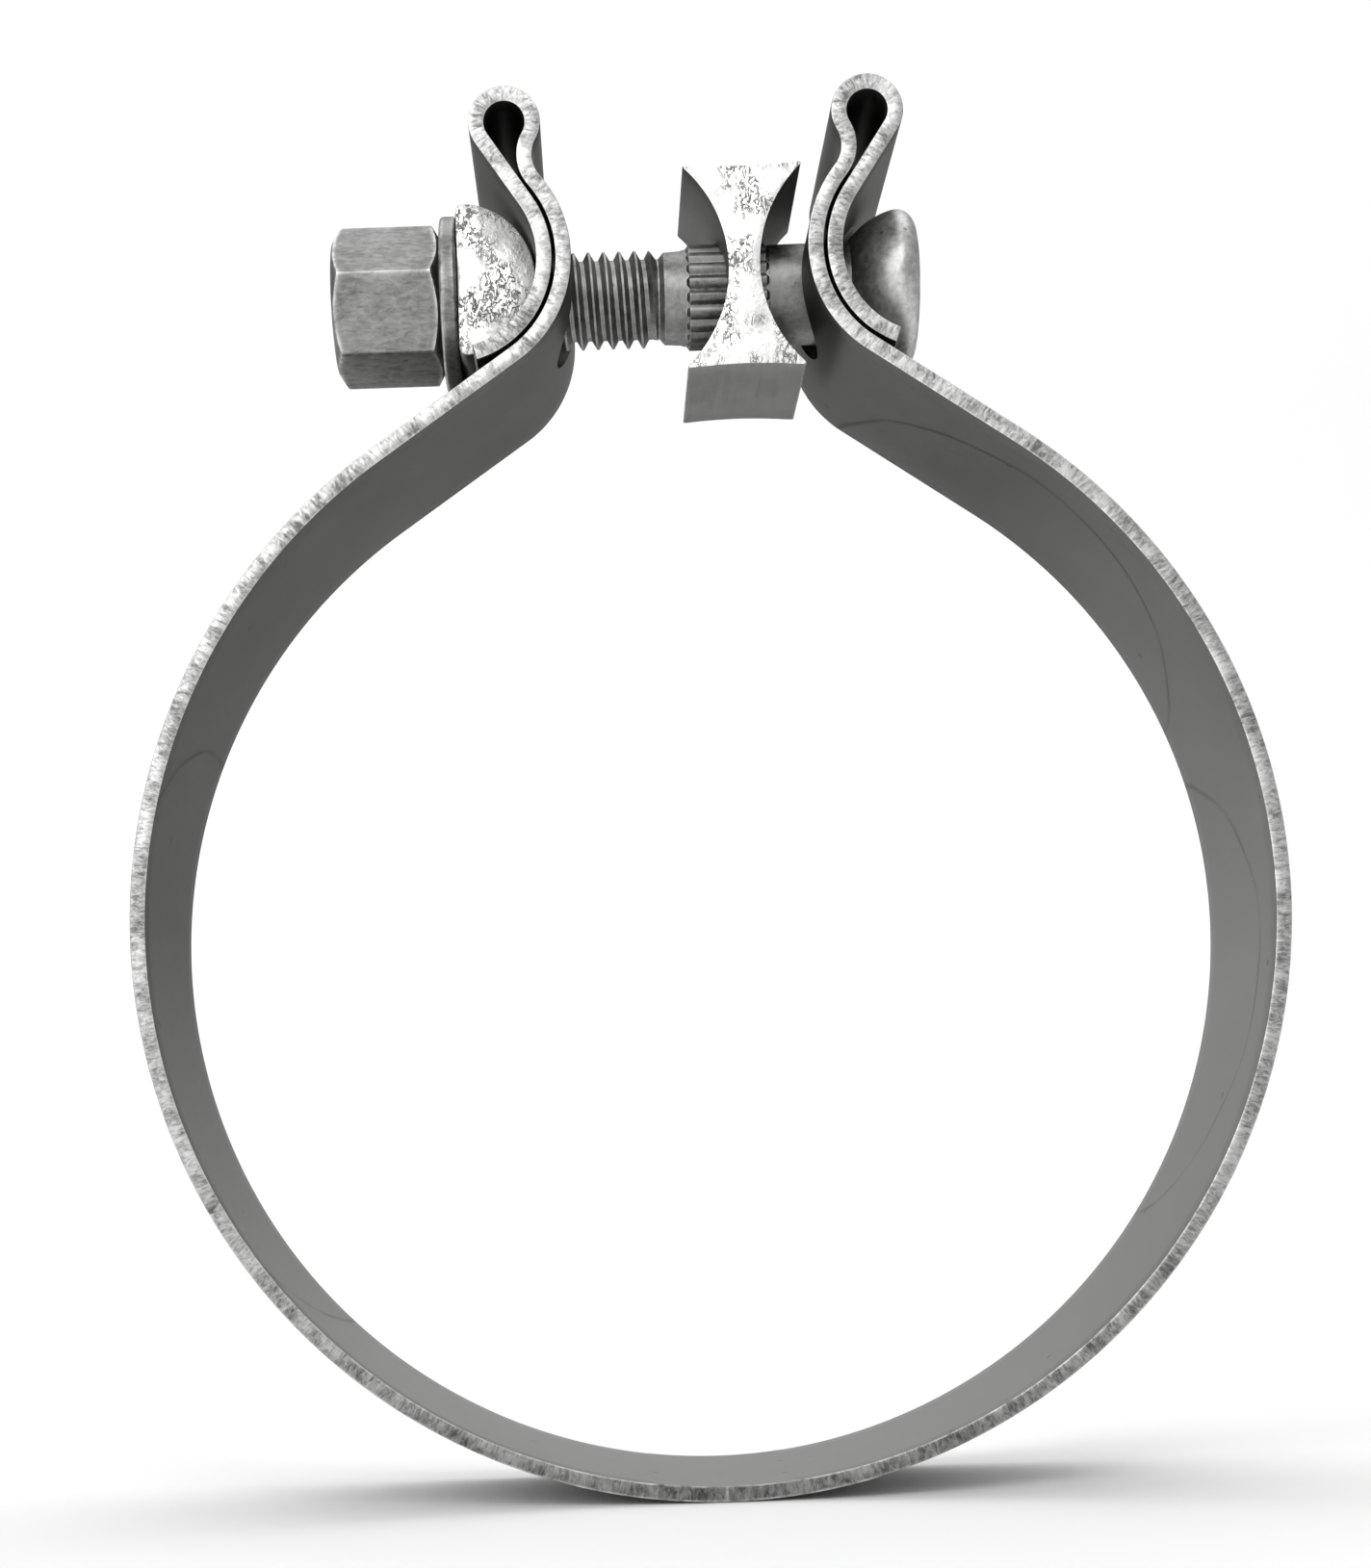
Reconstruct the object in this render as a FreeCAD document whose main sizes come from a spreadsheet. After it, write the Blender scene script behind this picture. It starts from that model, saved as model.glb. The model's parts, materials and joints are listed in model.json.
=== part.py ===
import FreeCAD, Part
import math
import os
import Sketcher

# Single-bolt flat-band pipe clamp, in millimetres.
# Frame: the origin is the centre of the clamped pipe, +Y runs along the pipe, +Z points
# up to the bolt, and the bolt lies along X with its nut at -X and its head at +X.
# The strip is flat spring steel. It is rigid here, so its flexing is shared between
# two flex lines low on the ring, where it is cut into three pieces.

DRIVING_SIZES = [
    ("bore_radius", 64.25, "inside of the ring, open, for a pipe of 127 outside diameter"),
    ("band_width", 32.0, "strip width along the pipe"),
    ("band_thickness", 1.8, "strip thickness"),
    ("flex_angle", 30.0, "degrees below level where the strip is cut to flex"),
    ("flex_gap", 0.1, "clearance between the cut ends of the strip"),
    ("bolt_standoff", 11.75, "bolt axis above the pipe's surface"),
    ("seat_offset", 27.6, "seat centre to the middle of the gap"),
    ("seat_radius", 10.2, "hollow of the tail that the block and the bolt head sit in"),
    ("head_easing", 0.8, "how much smaller the radius of the head's ball is than its seat"),
    ("block_easing", 1.4, "how much smaller the radius of the block is than its seat"),
    ("seat_gap", 0.25, "clearance between a seat and what sits in it"),
    ("layer_gap", 0.4, "clearance between the strip and its folded tail"),
    ("tail_angle", 70.0, "degrees below level where the tail ends"),
    ("loop_radius", 2.3, "inside of the folded loop"),
    ("loop_standoff", 2.4, "run between the seat's circle and the loop's circle"),
    ("loop_lean", 25.0, "degrees the loop leans towards the gap, seen from the seat centre"),
    ("neck_radius", 3.5, "reverse bend of the strip just below the loop"),
    ("slot_side_play", 0.4, "slot beyond the splines on each side"),
    ("slot_swing_play", 1.5, "slot beyond the splines above and below, for the swing"),
    ("thread_radius", 4.97, "pitch radius of the 7/16 inch by 14 thread, drawn plain"),
    ("spline_rise", 0.98, "tips of the splines above the thread's pitch radius"),
    ("shank_drop", 0.2, "plain shank below the tips of the splines"),
    ("neck_drop", 0.65, "plain neck below the tips of the splines"),
    ("spline_depth", 0.45, "depth of each groove between the splines"),
    ("spline_count", 20, "grooves round the bolt"),
    ("groove_share", 0.6, "width of a groove as a share of the splines' spacing"),
    ("cutter_reach", 1.1, "how far out the groove's cut runs, over the splines' radius"),
    ("spline_start", 17.8, "seat centre to the near end of the splines"),
    ("spline_length", 9.9, "length of the splines"),
    ("neck_length", 3.1, "plain neck between the splines and the thread"),
    ("thread_chamfer", 1.0, "chamfer on the end of the bolt"),
    ("thread_start_depth", 10.8, "bolt inside the nut when the clamp is fully open"),
    ("head_overhang", 0.4, "flat of the head beyond the centre of its ball"),
    ("head_round", 2.0, "round on the edge of the head"),
    ("spacer_offset", 6.5, "middle of the spacer from the middle of the gap, open"),
    ("spacer_length", 21.5, "spacer along the pipe"),
    ("spacer_waist", 3.6, "thinnest place of the spacer"),
    ("spacer_play", 1.2, "hollow side of the spacer beyond the strip's radius"),
    ("spacer_clearance", 0.1, "lowest corner of the spacer above the pipe"),
    ("spacer_round", 0.3, "round on the long corners of the spacer"),
    ("spline_fit", 0.1, "radial clearance of the spacer on the splines"),
    ("block_length", 18.0, "half-round block along the pipe"),
    ("block_flat", 0.3, "flat of the block behind the centre of its round side"),
    ("block_round", 1.0, "round on the long corners of the block"),
    ("bolt_hole_play", 0.3, "radial clearance of the block and washer on the splines"),
    ("face_gap", 0.1, "clearance between the block, the washer and the nut"),
    ("washer_radius", 10.0, "outside of the washer"),
    ("washer_thickness", 2.0, "thickness of the washer"),
    ("washer_chamfer", 0.3, "chamfer on the washer's rims"),
    ("nut_flats", 15.875, "nut across its flats"),
    ("nut_height", 12.7, "nut along the bolt"),
    ("nut_clocking", 22.0, "degrees the nut's front flat is turned down from facing -Y"),
    ("nut_corner_cut", 1.7, "how far in the turned chamfer of the nut reaches"),
    ("nut_chamfer_angle", 30.0, "degrees of the nut's turned chamfer to its face"),
    ("thread_fit", 0.08, "radial clearance of the nut on the plain-drawn thread"),
]

DERIVED_SIZES = [
    ("spline_radius", "thread_radius + spline_rise"),
    ("shank_radius", "spline_radius - shank_drop"),
    ("relief_radius", "spline_radius - neck_drop"),
    ("ring_outer_radius", "bore_radius + band_thickness"),
    ("bolt_height", "bore_radius + bolt_standoff"),
    ("flex_gap_angle", "flex_gap / 2 / bore_radius * 180 / pi"),
    ("lower_end_angle", "flex_angle + flex_gap_angle"),
    ("side_end_angle", "flex_gap_angle - flex_angle"),
    ("tail_outer_radius", "seat_radius + band_thickness"),
    ("convex_inner_radius", "tail_outer_radius + layer_gap"),
    ("convex_radius", "convex_inner_radius + band_thickness"),
    ("tail_end_angle", "tail_angle - 180"),
    ("loop_outer_radius", "loop_radius + band_thickness"),
    ("loop_distance", "seat_radius + loop_outer_radius + loop_standoff"),
    ("loop_offset", "seat_offset - loop_distance * sin(loop_lean * 1 deg)"),
    ("loop_height", "bolt_height + loop_distance * cos(loop_lean * 1 deg)"),
    ("neck_outer_radius", "neck_radius + band_thickness"),
    ("slot_radius", "spline_radius + slot_side_play"),
    ("slot_centre_shift", "slot_swing_play - slot_side_play"),
    ("slot_reach", "slot_radius + slot_centre_shift"),
    ("head_radius", "seat_radius - head_easing"),
    ("seat_to_slot_end", "sqrt(seat_radius ^ 2 - slot_reach ^ 2)"),
    ("ball_to_slot_end", "sqrt((head_radius + seat_gap) ^ 2 - slot_reach ^ 2)"),
    ("head_centre", "seat_offset - seat_to_slot_end + ball_to_slot_end"),
    ("head_face", "head_centre + head_overhang"),
    ("spline_head_end", "seat_offset - spline_start"),
    ("spline_thread_end", "spline_head_end - spline_length"),
    ("thread_head_end", "spline_thread_end - neck_length"),
    ("block_radius", "seat_radius - block_easing"),
    ("block_centre", "seat_radius - seat_gap - block_radius - seat_offset"),
    ("block_face", "block_centre - block_flat"),
    ("bolt_hole_radius", "spline_radius + bolt_hole_play"),
    ("washer_start", "block_face - face_gap"),
    ("nut_start", "washer_start - washer_thickness - face_gap"),
    ("nut_end", "nut_start - nut_height"),
    ("nut_corner_radius", "nut_flats / sqrt(3)"),
    ("nut_side_angle", "nut_clocking - 150"),
    ("nut_bore_radius", "thread_radius + thread_fit"),
    ("nut_cut_radius", "nut_corner_radius - nut_corner_cut"),
    ("nut_cut_height", "nut_corner_cut * tan(nut_chamfer_angle * 1 deg)"),
    ("bolt_end", "nut_start - thread_start_depth"),
    ("bolt_chamfer_start", "bolt_end + thread_chamfer"),
    ("bolt_tip_radius", "thread_radius - thread_chamfer"),
    ("spline_root_radius", "spline_radius - spline_depth"),
    ("groove_half_angle", "180 * groove_share / spline_count"),
    ("cutter_top", "cutter_reach * spline_radius"),
    ("cutter_width", "2 * cutter_top * sin(groove_half_angle * 1 deg)"),
    ("spacer_half_height", "bolt_standoff - spacer_clearance"),
    ("spacer_side_radius", "convex_radius + spacer_play"),
    ("spacer_side_centre", "spacer_waist / 2 + spacer_side_radius"),
    ("spacer_bore_radius", "spline_radius + spline_fit"),
]

doc = FreeCAD.newDocument("pipe_clamp")


def make_sheet():
    """Write every size once, with its alias and its meaning."""
    sizes = doc.addObject("Spreadsheet::Sheet", "Sizes")
    row = 1
    for name, value, meaning in DRIVING_SIZES:
        sizes.set(f"A{row}", name)
        sizes.set(f"B{row}", str(value))
        sizes.set(f"C{row}", meaning)
        sizes.setAlias(f"B{row}", name)
        row += 1
    for name, formula in DERIVED_SIZES:
        sizes.set(f"A{row}", name)
        sizes.set(f"B{row}", "=" + formula)
        sizes.setAlias(f"B{row}", name)
        row += 1
    doc.recompute()
    return sizes


sheet = make_sheet()


def size(name):
    """The present value of one named size."""
    return float(sheet.get(name))


def bind(thing, prop, formula):
    """Tie a property to sizes of the sheet: each word @name is that size."""
    thing.setExpression(prop, formula.replace("@", "Sizes."))


# ---------------------------------------------------------------- sketch helpers

def new_body(label):
    body = doc.addObject("PartDesign::Body", label)
    body.Label = label
    return body


def new_sketch(body, name, plane, shift_x=None, shift_y=None, shift_normal=None):
    """A sketch on one of the body's own origin planes, moved by bound amounts."""
    sketch = body.newObject("Sketcher::SketchObject", name)
    base = [f for f in body.Origin.OriginFeatures if f.Role == plane][0]
    sketch.AttachmentSupport = [(base, "")]
    sketch.MapMode = "FlatFace"
    for axis, formula in (("x", shift_x), ("y", shift_y), ("z", shift_normal)):
        if formula:
            bind(sketch, f"AttachmentOffset.Base.{axis}", formula)
    return sketch


def hold(sketch, kind, places, alias, sign=""):
    """Add a dimension constraint and tie it to a named size."""
    value = size(alias)
    if sign == "-":
        value = -value
    if kind == "Angle":
        value = math.radians(value)
    index = sketch.addConstraint(Sketcher.Constraint(kind, *places, value))
    unit = " * 1 deg" if kind == "Angle" else ""
    bind(sketch, f"Constraints[{index}]", f"{sign}@{alias}{unit}")
    return index


def join(sketch, kind, *places):
    """Add a constraint that has no size, such as Coincident or Tangent."""
    return sketch.addConstraint(Sketcher.Constraint(kind, *places))


ORIGIN = (-1, 1)
X_AXIS = -1
Y_AXIS = -2
START, END, CENTRE = 1, 2, 3


def add_arc(sketch, centre, radius, start, end):
    """A counter-clockwise arc between two angles in radians."""
    circle = Part.Circle(FreeCAD.Vector(*centre, 0), FreeCAD.Vector(0, 0, 1), radius)
    return sketch.addGeometry(Part.ArcOfCircle(circle, start, end), False)


def add_line(sketch, start, end):
    return sketch.addGeometry(
        Part.LineSegment(FreeCAD.Vector(*start, 0), FreeCAD.Vector(*end, 0)), False)


def add_circle(sketch, alias):
    """A circle about the sketch's origin with a bound radius."""
    circle = Part.Circle(FreeCAD.Vector(0, 0, 0), FreeCAD.Vector(0, 0, 1), size(alias))
    index = sketch.addGeometry(circle, False)
    join(sketch, "Coincident", index, CENTRE, *ORIGIN)
    hold(sketch, "Radius", (index,), alias)
    return index


def hold_point(sketch, geometry, end, x_alias, y_alias):
    """Fix a point: a name binds that coordinate, None puts the point on the axis."""
    if x_alias is None:
        join(sketch, "PointOnObject", geometry, end, Y_AXIS)
    else:
        hold(sketch, "DistanceX", (*ORIGIN, geometry, end), x_alias)
    if y_alias is None:
        join(sketch, "PointOnObject", geometry, end, X_AXIS)
    else:
        hold(sketch, "DistanceY", (*ORIGIN, geometry, end), y_alias)


def corner(x_alias, y_alias):
    """The present place of a bound corner."""
    return (size(x_alias) if x_alias else 0.0, size(y_alias) if y_alias else 0.0)


def add_chain(sketch, corners):
    """Straight lines through bound corners. Returns the lines' indexes."""
    lines = []
    for first, second in zip(corners, corners[1:]):
        line = add_line(sketch, corner(*first), corner(*second))
        if lines:
            join(sketch, "Coincident", lines[-1], END, line, START)
        hold_point(sketch, line, END, *second)
        lines.append(line)
    hold_point(sketch, lines[0], START, *corners[0])
    return lines


def pad(body, sketch, name, length, centred=False):
    feature = body.newObject("PartDesign::Pad", name)
    feature.Profile = sketch
    if centred:
        feature.SideType = "Symmetric"
    bind(feature, "Length", length)
    return feature


def pocket_through(body, sketch, name, expected_cut):
    """Cut right through along the sketch's normal, and prove that it cut enough."""
    before = body.Tip.Shape.Volume
    feature = body.newObject("PartDesign::Pocket", name)
    feature.Profile = sketch
    feature.Type = "ThroughAll"
    feature.SideType = "Symmetric"
    doc.recompute()
    removed = before - feature.Shape.Volume
    if removed < expected_cut:
        raise RuntimeError(f"{name} removed {removed:.1f} and should remove {expected_cut:.1f}")
    return feature


def round_edges(body, name, kind, amount, wanted):
    """A fillet or chamfer on the tip's edges whose middle passes the test."""
    doc.recompute()
    base = body.Tip
    edges = [f"Edge{i}" for i, edge in enumerate(base.Shape.Edges, 1) if wanted(edge)]
    if not edges:
        raise RuntimeError(f"{name} found no edges")
    feature = body.newObject(f"PartDesign::{kind}", name)
    feature.Base = (base, edges)
    bind(feature, "Radius" if kind == "Fillet" else "Size", amount)
    doc.recompute()
    return feature


def middle(edge):
    """The point half way along an edge."""
    return edge.valueAt((edge.FirstParameter + edge.LastParameter) / 2)


def near(first, second):
    return abs(first - second) < 1e-4


# ---------------------------------------------------------------- the strip

def angle_of(origin, target):
    return math.atan2(target[1] - origin[1], target[0] - origin[0])


def polar(centre, radius, angle):
    return (centre[0] + radius * math.cos(angle), centre[1] + radius * math.sin(angle))


def neck_centre(seat, loop):
    """Centre of the reverse bend, which touches the convex face and the loop."""
    to_seat = size("convex_radius") + size("neck_radius")
    to_loop = size("loop_outer_radius") + size("neck_radius")
    apart = math.dist(seat, loop)
    turn = math.acos((to_seat ** 2 + apart ** 2 - to_loop ** 2) / (2 * to_seat * apart))
    return polar(seat, to_seat, angle_of(seat, loop) + turn)


def strip_course():
    """The right side's bends in order, from the flex line up, over the loop and down the tail.

    Each bend is (name, centre, radius on the outside face, radius on the hidden face,
    start angle, end angle, turns left). The outside face touches the pipe, faces the
    gap and then carries the seat; the hidden face is the other one.
    """
    seat = corner("seat_offset", "bolt_height")
    loop = corner("loop_offset", "loop_height")
    neck = neck_centre(seat, loop)
    ring_and_convex = size("bore_radius") + size("convex_radius")
    leave = angle_of((0, 0), seat) - math.acos(ring_and_convex / math.hypot(*seat))
    loop_and_seat = size("loop_outer_radius") + size("seat_radius")
    land = angle_of(seat, loop) + math.acos(loop_and_seat / math.dist(seat, loop))
    return [
        ("ring", (0.0, 0.0), "bore_radius", "ring_outer_radius",
         math.radians(size("side_end_angle")), leave, True),
        ("convex", seat, "convex_radius", "convex_inner_radius",
         leave + math.pi, angle_of(seat, neck), False),
        ("neck", neck, "neck_radius", "neck_outer_radius",
         angle_of(seat, neck) - math.pi, angle_of(neck, loop), True),
        ("loop", loop, "loop_outer_radius", "loop_radius",
         angle_of(loop, neck) + 2 * math.pi, land + math.pi, False),
        ("tail", seat, "seat_radius", "tail_outer_radius",
         land, math.radians(size("tail_end_angle")) + 2 * math.pi, True),
    ]


def add_bend(sketch, centre, radius, start, end, turns_left):
    """One arc of the course. Returns (index, end where it begins, end where it stops)."""
    if turns_left:
        return add_arc(sketch, centre, radius, start, end), START, END
    return add_arc(sketch, centre, radius, end, start), END, START


def add_face(sketch, course, radius_column, is_outside):
    """One face of the strip as tangent arcs, with straight runs beside the ring and tail.

    The hidden face's neck and loop get their radii from touching their neighbours.
    """
    pieces = []
    for bend in course:
        name, centre, start, end, turns_left = bend[0], bend[1], bend[4], bend[5], bend[6]
        alias = bend[radius_column]
        if name in ("convex", "tail"):
            begin = polar(*pieces[-1]["leaves"])
            line = add_line(sketch, begin, polar(centre, size(alias), start))
            pieces.append({"name": "run", "index": line, "from": START, "to": END})
        index, begins, stops = add_bend(sketch, centre, size(alias), start, end, turns_left)
        if is_outside or name not in ("neck", "loop"):
            hold(sketch, "Radius", (index,), alias)
        pieces.append({"name": name, "index": index, "from": begins, "to": stops,
                       "leaves": (centre, size(alias), end)})
    for first, second in zip(pieces, pieces[1:]):
        join(sketch, "Tangent", first["index"], first["to"], second["index"], second["from"])
    return pieces


def find(pieces, name):
    return [piece for piece in pieces if piece["name"] == name][0]


def make_strip_side(label):
    """The right side of the strip, from the flex line to the end of the folded tail."""
    body = new_body(label)
    sketch = new_sketch(body, label + "_outline", "XZ_Plane")
    course = strip_course()
    outside = add_face(sketch, course, 2, True)
    hidden = add_face(sketch, course, 3, False)
    join(sketch, "Coincident", find(outside, "ring")["index"], CENTRE, *ORIGIN)
    hold_point(sketch, find(outside, "convex")["index"], CENTRE, "seat_offset", "bolt_height")
    hold_point(sketch, find(outside, "loop")["index"], CENTRE, "loop_offset", "loop_height")
    tail = find(outside, "tail")["index"]
    join(sketch, "Coincident", tail, CENTRE, find(outside, "convex")["index"], CENTRE)
    for name in ("ring", "convex", "neck", "loop", "tail"):
        join(sketch, "Coincident", find(hidden, name)["index"], CENTRE,
             find(outside, name)["index"], CENTRE)
    ends = (("ring", "from", 4, "side_end_angle"), ("tail", "to", 5, "tail_end_angle"))
    for name, side, angle_column, alias in ends:
        inner, outer = find(outside, name), find(hidden, name)
        bend = [b for b in course if b[0] == name][0]
        angle = bend[angle_column]
        line = add_line(sketch, polar(bend[1], size(bend[2]), angle),
                        polar(bend[1], size(bend[3]), angle))
        join(sketch, "Coincident", line, START, inner["index"], inner[side])
        join(sketch, "Coincident", line, END, outer["index"], outer[side])
        join(sketch, "PointOnObject", inner["index"], CENTRE, line)
        hold(sketch, "Angle", (line,), alias)
    pad(body, sketch, label + "_strip", "@band_width", centred=True)
    doc.recompute()
    add_slot(body, label)
    return body


def add_slot(body, label):
    """The slot that the bolt passes through, cut through both layers of the strip."""
    sketch = new_sketch(body, label + "_slot_outline", "YZ_Plane", shift_y="@bolt_height")
    shift, radius = size("slot_centre_shift"), size("slot_radius")
    top = add_arc(sketch, (0, shift), radius, 0, math.pi)
    bottom = add_arc(sketch, (0, -shift), radius, math.pi, 2 * math.pi)
    left = add_line(sketch, (-radius, shift), (-radius, -shift))
    right = add_line(sketch, (radius, -shift), (radius, shift))
    join(sketch, "Tangent", top, END, left, START)
    join(sketch, "Tangent", left, END, bottom, START)
    join(sketch, "Tangent", bottom, END, right, START)
    join(sketch, "Tangent", right, END, top, START)
    hold(sketch, "Radius", (top,), "slot_radius")
    hold_point(sketch, top, CENTRE, None, "slot_centre_shift")
    join(sketch, "Symmetric", top, CENTRE, bottom, CENTRE, *ORIGIN)
    slot_area = math.pi * radius ** 2 + 4 * radius * shift
    pocket_through(body, sketch, label + "_slot", 2 * size("band_thickness") * slot_area)


def make_band_lower():
    """The bottom of the ring, between the two flex lines."""
    body = new_body("band_lower")
    sketch = new_sketch(body, "band_lower_outline", "XZ_Plane")
    low = math.radians(size("lower_end_angle"))
    arcs = []
    for alias in ("bore_radius", "ring_outer_radius"):
        arc = add_arc(sketch, (0, 0), size(alias), math.pi + low, 2 * math.pi - low)
        join(sketch, "Coincident", arc, CENTRE, *ORIGIN)
        hold(sketch, "Radius", (arc,), alias)
        arcs.append(arc)
    for end, angle in ((START, math.pi + low), (END, -low)):
        line = add_line(sketch, polar((0, 0), size("bore_radius"), angle),
                        polar((0, 0), size("ring_outer_radius"), angle))
        join(sketch, "Coincident", line, START, arcs[0], end)
        join(sketch, "Coincident", line, END, arcs[1], end)
        join(sketch, "PointOnObject", *ORIGIN, line)
        if end == END:
            hold(sketch, "Angle", (line,), "lower_end_angle", "-")
    join(sketch, "Symmetric", arcs[0], START, arcs[0], END, Y_AXIS)
    pad(body, sketch, "band_lower_strip", "@band_width", centred=True)
    return body


def make_left_side(right_side):
    """The left side of the strip is the right side mirrored in the plane of the gap."""
    mirrored = doc.addObject("Part::Mirroring", "band_left")
    mirrored.Label = "band_left"
    mirrored.Source = right_side
    mirrored.Base = FreeCAD.Vector(0, 0, 0)
    mirrored.Normal = FreeCAD.Vector(1, 0, 0)
    return mirrored


# ---------------------------------------------------------------- the bolt and what is on it

def make_bolt():
    """Turned bolt with a ball underside, splines for the spacer and a thread."""
    body = new_body("bolt")
    sketch = new_sketch(body, "bolt_profile", "XZ_Plane", shift_y="@bolt_height")
    lines = add_chain(sketch, [
        ("spline_head_end", "shank_radius"),
        ("spline_head_end", "spline_radius"),
        ("spline_thread_end", "spline_radius"),
        ("spline_thread_end", "relief_radius"),
        ("thread_head_end", "relief_radius"),
        ("thread_head_end", "thread_radius"),
        ("bolt_chamfer_start", "thread_radius"),
        ("bolt_end", "bolt_tip_radius"),
        ("bolt_end", None),
        ("head_face", None),
    ])
    ball, centre = size("head_radius"), size("head_centre")
    rim_angle = math.acos(size("head_overhang") / ball)
    shank_angle = math.pi - math.asin(size("shank_radius") / ball)
    face = add_line(sketch, (size("head_face"), 0), polar((centre, 0), ball, rim_angle))
    under = add_arc(sketch, (centre, 0), ball, rim_angle, shank_angle)
    shank = add_line(sketch, polar((centre, 0), ball, shank_angle),
                     corner("spline_head_end", "shank_radius"))
    join(sketch, "Coincident", lines[-1], END, face, START)
    join(sketch, "Vertical", face)
    join(sketch, "Coincident", face, END, under, START)
    join(sketch, "Coincident", under, END, shank, START)
    join(sketch, "Horizontal", shank)
    join(sketch, "Coincident", shank, END, lines[0], START)
    hold(sketch, "Radius", (under,), "head_radius")
    hold_point(sketch, under, CENTRE, "head_centre", None)
    turned = body.newObject("PartDesign::Revolution", "bolt_turned")
    turned.Profile = sketch
    turned.ReferenceAxis = (sketch, ["H_Axis"])
    turned.Angle = 360
    round_edges(body, "head_edge", "Fillet", "@head_round",
                lambda edge: near(edge.BoundBox.XMin, size("head_face"))
                and near(edge.BoundBox.XMax, size("head_face")))
    add_splines(body)
    return body


def add_splines(body):
    """V grooves along the bolt, repeated round it, leave the splines between them."""
    sketch = new_sketch(body, "spline_groove_outline", "YZ_Plane", shift_y="@bolt_height",
                        shift_normal="@spline_thread_end")
    root, outer, half_width = size("spline_root_radius"), size("cutter_top"), size("cutter_width") / 2
    left = add_line(sketch, (-half_width, outer), (0, root))
    right = add_line(sketch, (0, root), (half_width, outer))
    top = add_line(sketch, (half_width, outer), (-half_width, outer))
    for first, second in ((left, right), (right, top), (top, left)):
        join(sketch, "Coincident", first, END, second, START)
    hold_point(sketch, left, END, None, "spline_root_radius")
    join(sketch, "Symmetric", left, START, right, END, Y_AXIS)
    hold(sketch, "DistanceY", (*ORIGIN, top, START), "cutter_top")
    hold(sketch, "DistanceX", (top, END, top, START), "cutter_width")
    doc.recompute()
    before = body.Tip.Shape.Volume
    groove = body.newObject("PartDesign::Pocket", "spline_groove")
    groove.Profile = sketch
    groove.Reversed = True
    bind(groove, "Length", "@spline_length")
    doc.recompute()
    if groove.Shape.Volume >= before:
        raise RuntimeError("the spline groove cut nothing")
    ring = body.newObject("PartDesign::PolarPattern", "spline_ring")
    ring.Originals = [groove]
    ring.Axis = (sketch, ["N_Axis"])
    ring.Angle = 360
    bind(ring, "Occurrences", "@spline_count")
    body.Tip = ring
    doc.recompute()


def make_spacer():
    """Hourglass block on the splines: hollow sides for the strip, hollow ends for the pipe."""
    body = new_body("spacer")
    sketch = new_sketch(body, "spacer_outline", "XZ_Plane", shift_x="@spacer_offset",
                        shift_y="@bolt_height")
    half, radius = size("spacer_half_height"), size("spacer_side_radius")
    centre = size("spacer_side_centre")
    sweep = math.asin(half / radius)
    width = centre - radius * math.cos(sweep)
    right = add_arc(sketch, (centre, 0), radius, math.pi - sweep, math.pi + sweep)
    left = add_arc(sketch, (-centre, 0), radius, -sweep, sweep)
    reach = size("bolt_height")
    end_radius = math.hypot(width, reach - half)
    lean = math.asin(width / end_radius)
    top = add_arc(sketch, (0, reach), end_radius, 1.5 * math.pi - lean, 1.5 * math.pi + lean)
    bottom = add_arc(sketch, (0, -reach), end_radius, 0.5 * math.pi - lean, 0.5 * math.pi + lean)
    join(sketch, "Coincident", right, START, top, END)
    join(sketch, "Coincident", top, START, left, END)
    join(sketch, "Coincident", left, START, bottom, END)
    join(sketch, "Coincident", bottom, START, right, END)
    hold(sketch, "Radius", (right,), "spacer_side_radius")
    hold_point(sketch, right, CENTRE, "spacer_side_centre", None)
    join(sketch, "Equal", left, right)
    join(sketch, "Symmetric", left, CENTRE, right, CENTRE, *ORIGIN)
    hold(sketch, "DistanceY", (*ORIGIN, right, START), "spacer_half_height")
    join(sketch, "Horizontal", right, START, left, END)
    join(sketch, "Horizontal", right, END, left, START)
    join(sketch, "Vertical", right, START, right, END)
    hold(sketch, "DistanceY", (*ORIGIN, top, CENTRE), "bolt_height")
    hold(sketch, "DistanceY", (bottom, CENTRE, *ORIGIN), "bolt_height")
    pad(body, sketch, "spacer_block", "@spacer_length", centred=True)
    half_length = size("spacer_length") / 2
    round_edges(body, "spacer_corners", "Fillet", "@spacer_round",
                lambda edge: near(edge.Length, 2 * half_length))
    bore = new_sketch(body, "spacer_bore_outline", "YZ_Plane", shift_y="@bolt_height")
    add_circle(bore, "spacer_bore_radius")
    least_cut = math.pi * size("spacer_bore_radius") ** 2 * size("spacer_waist")
    pocket_through(body, bore, "spacer_bore", least_cut)
    return body


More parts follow.
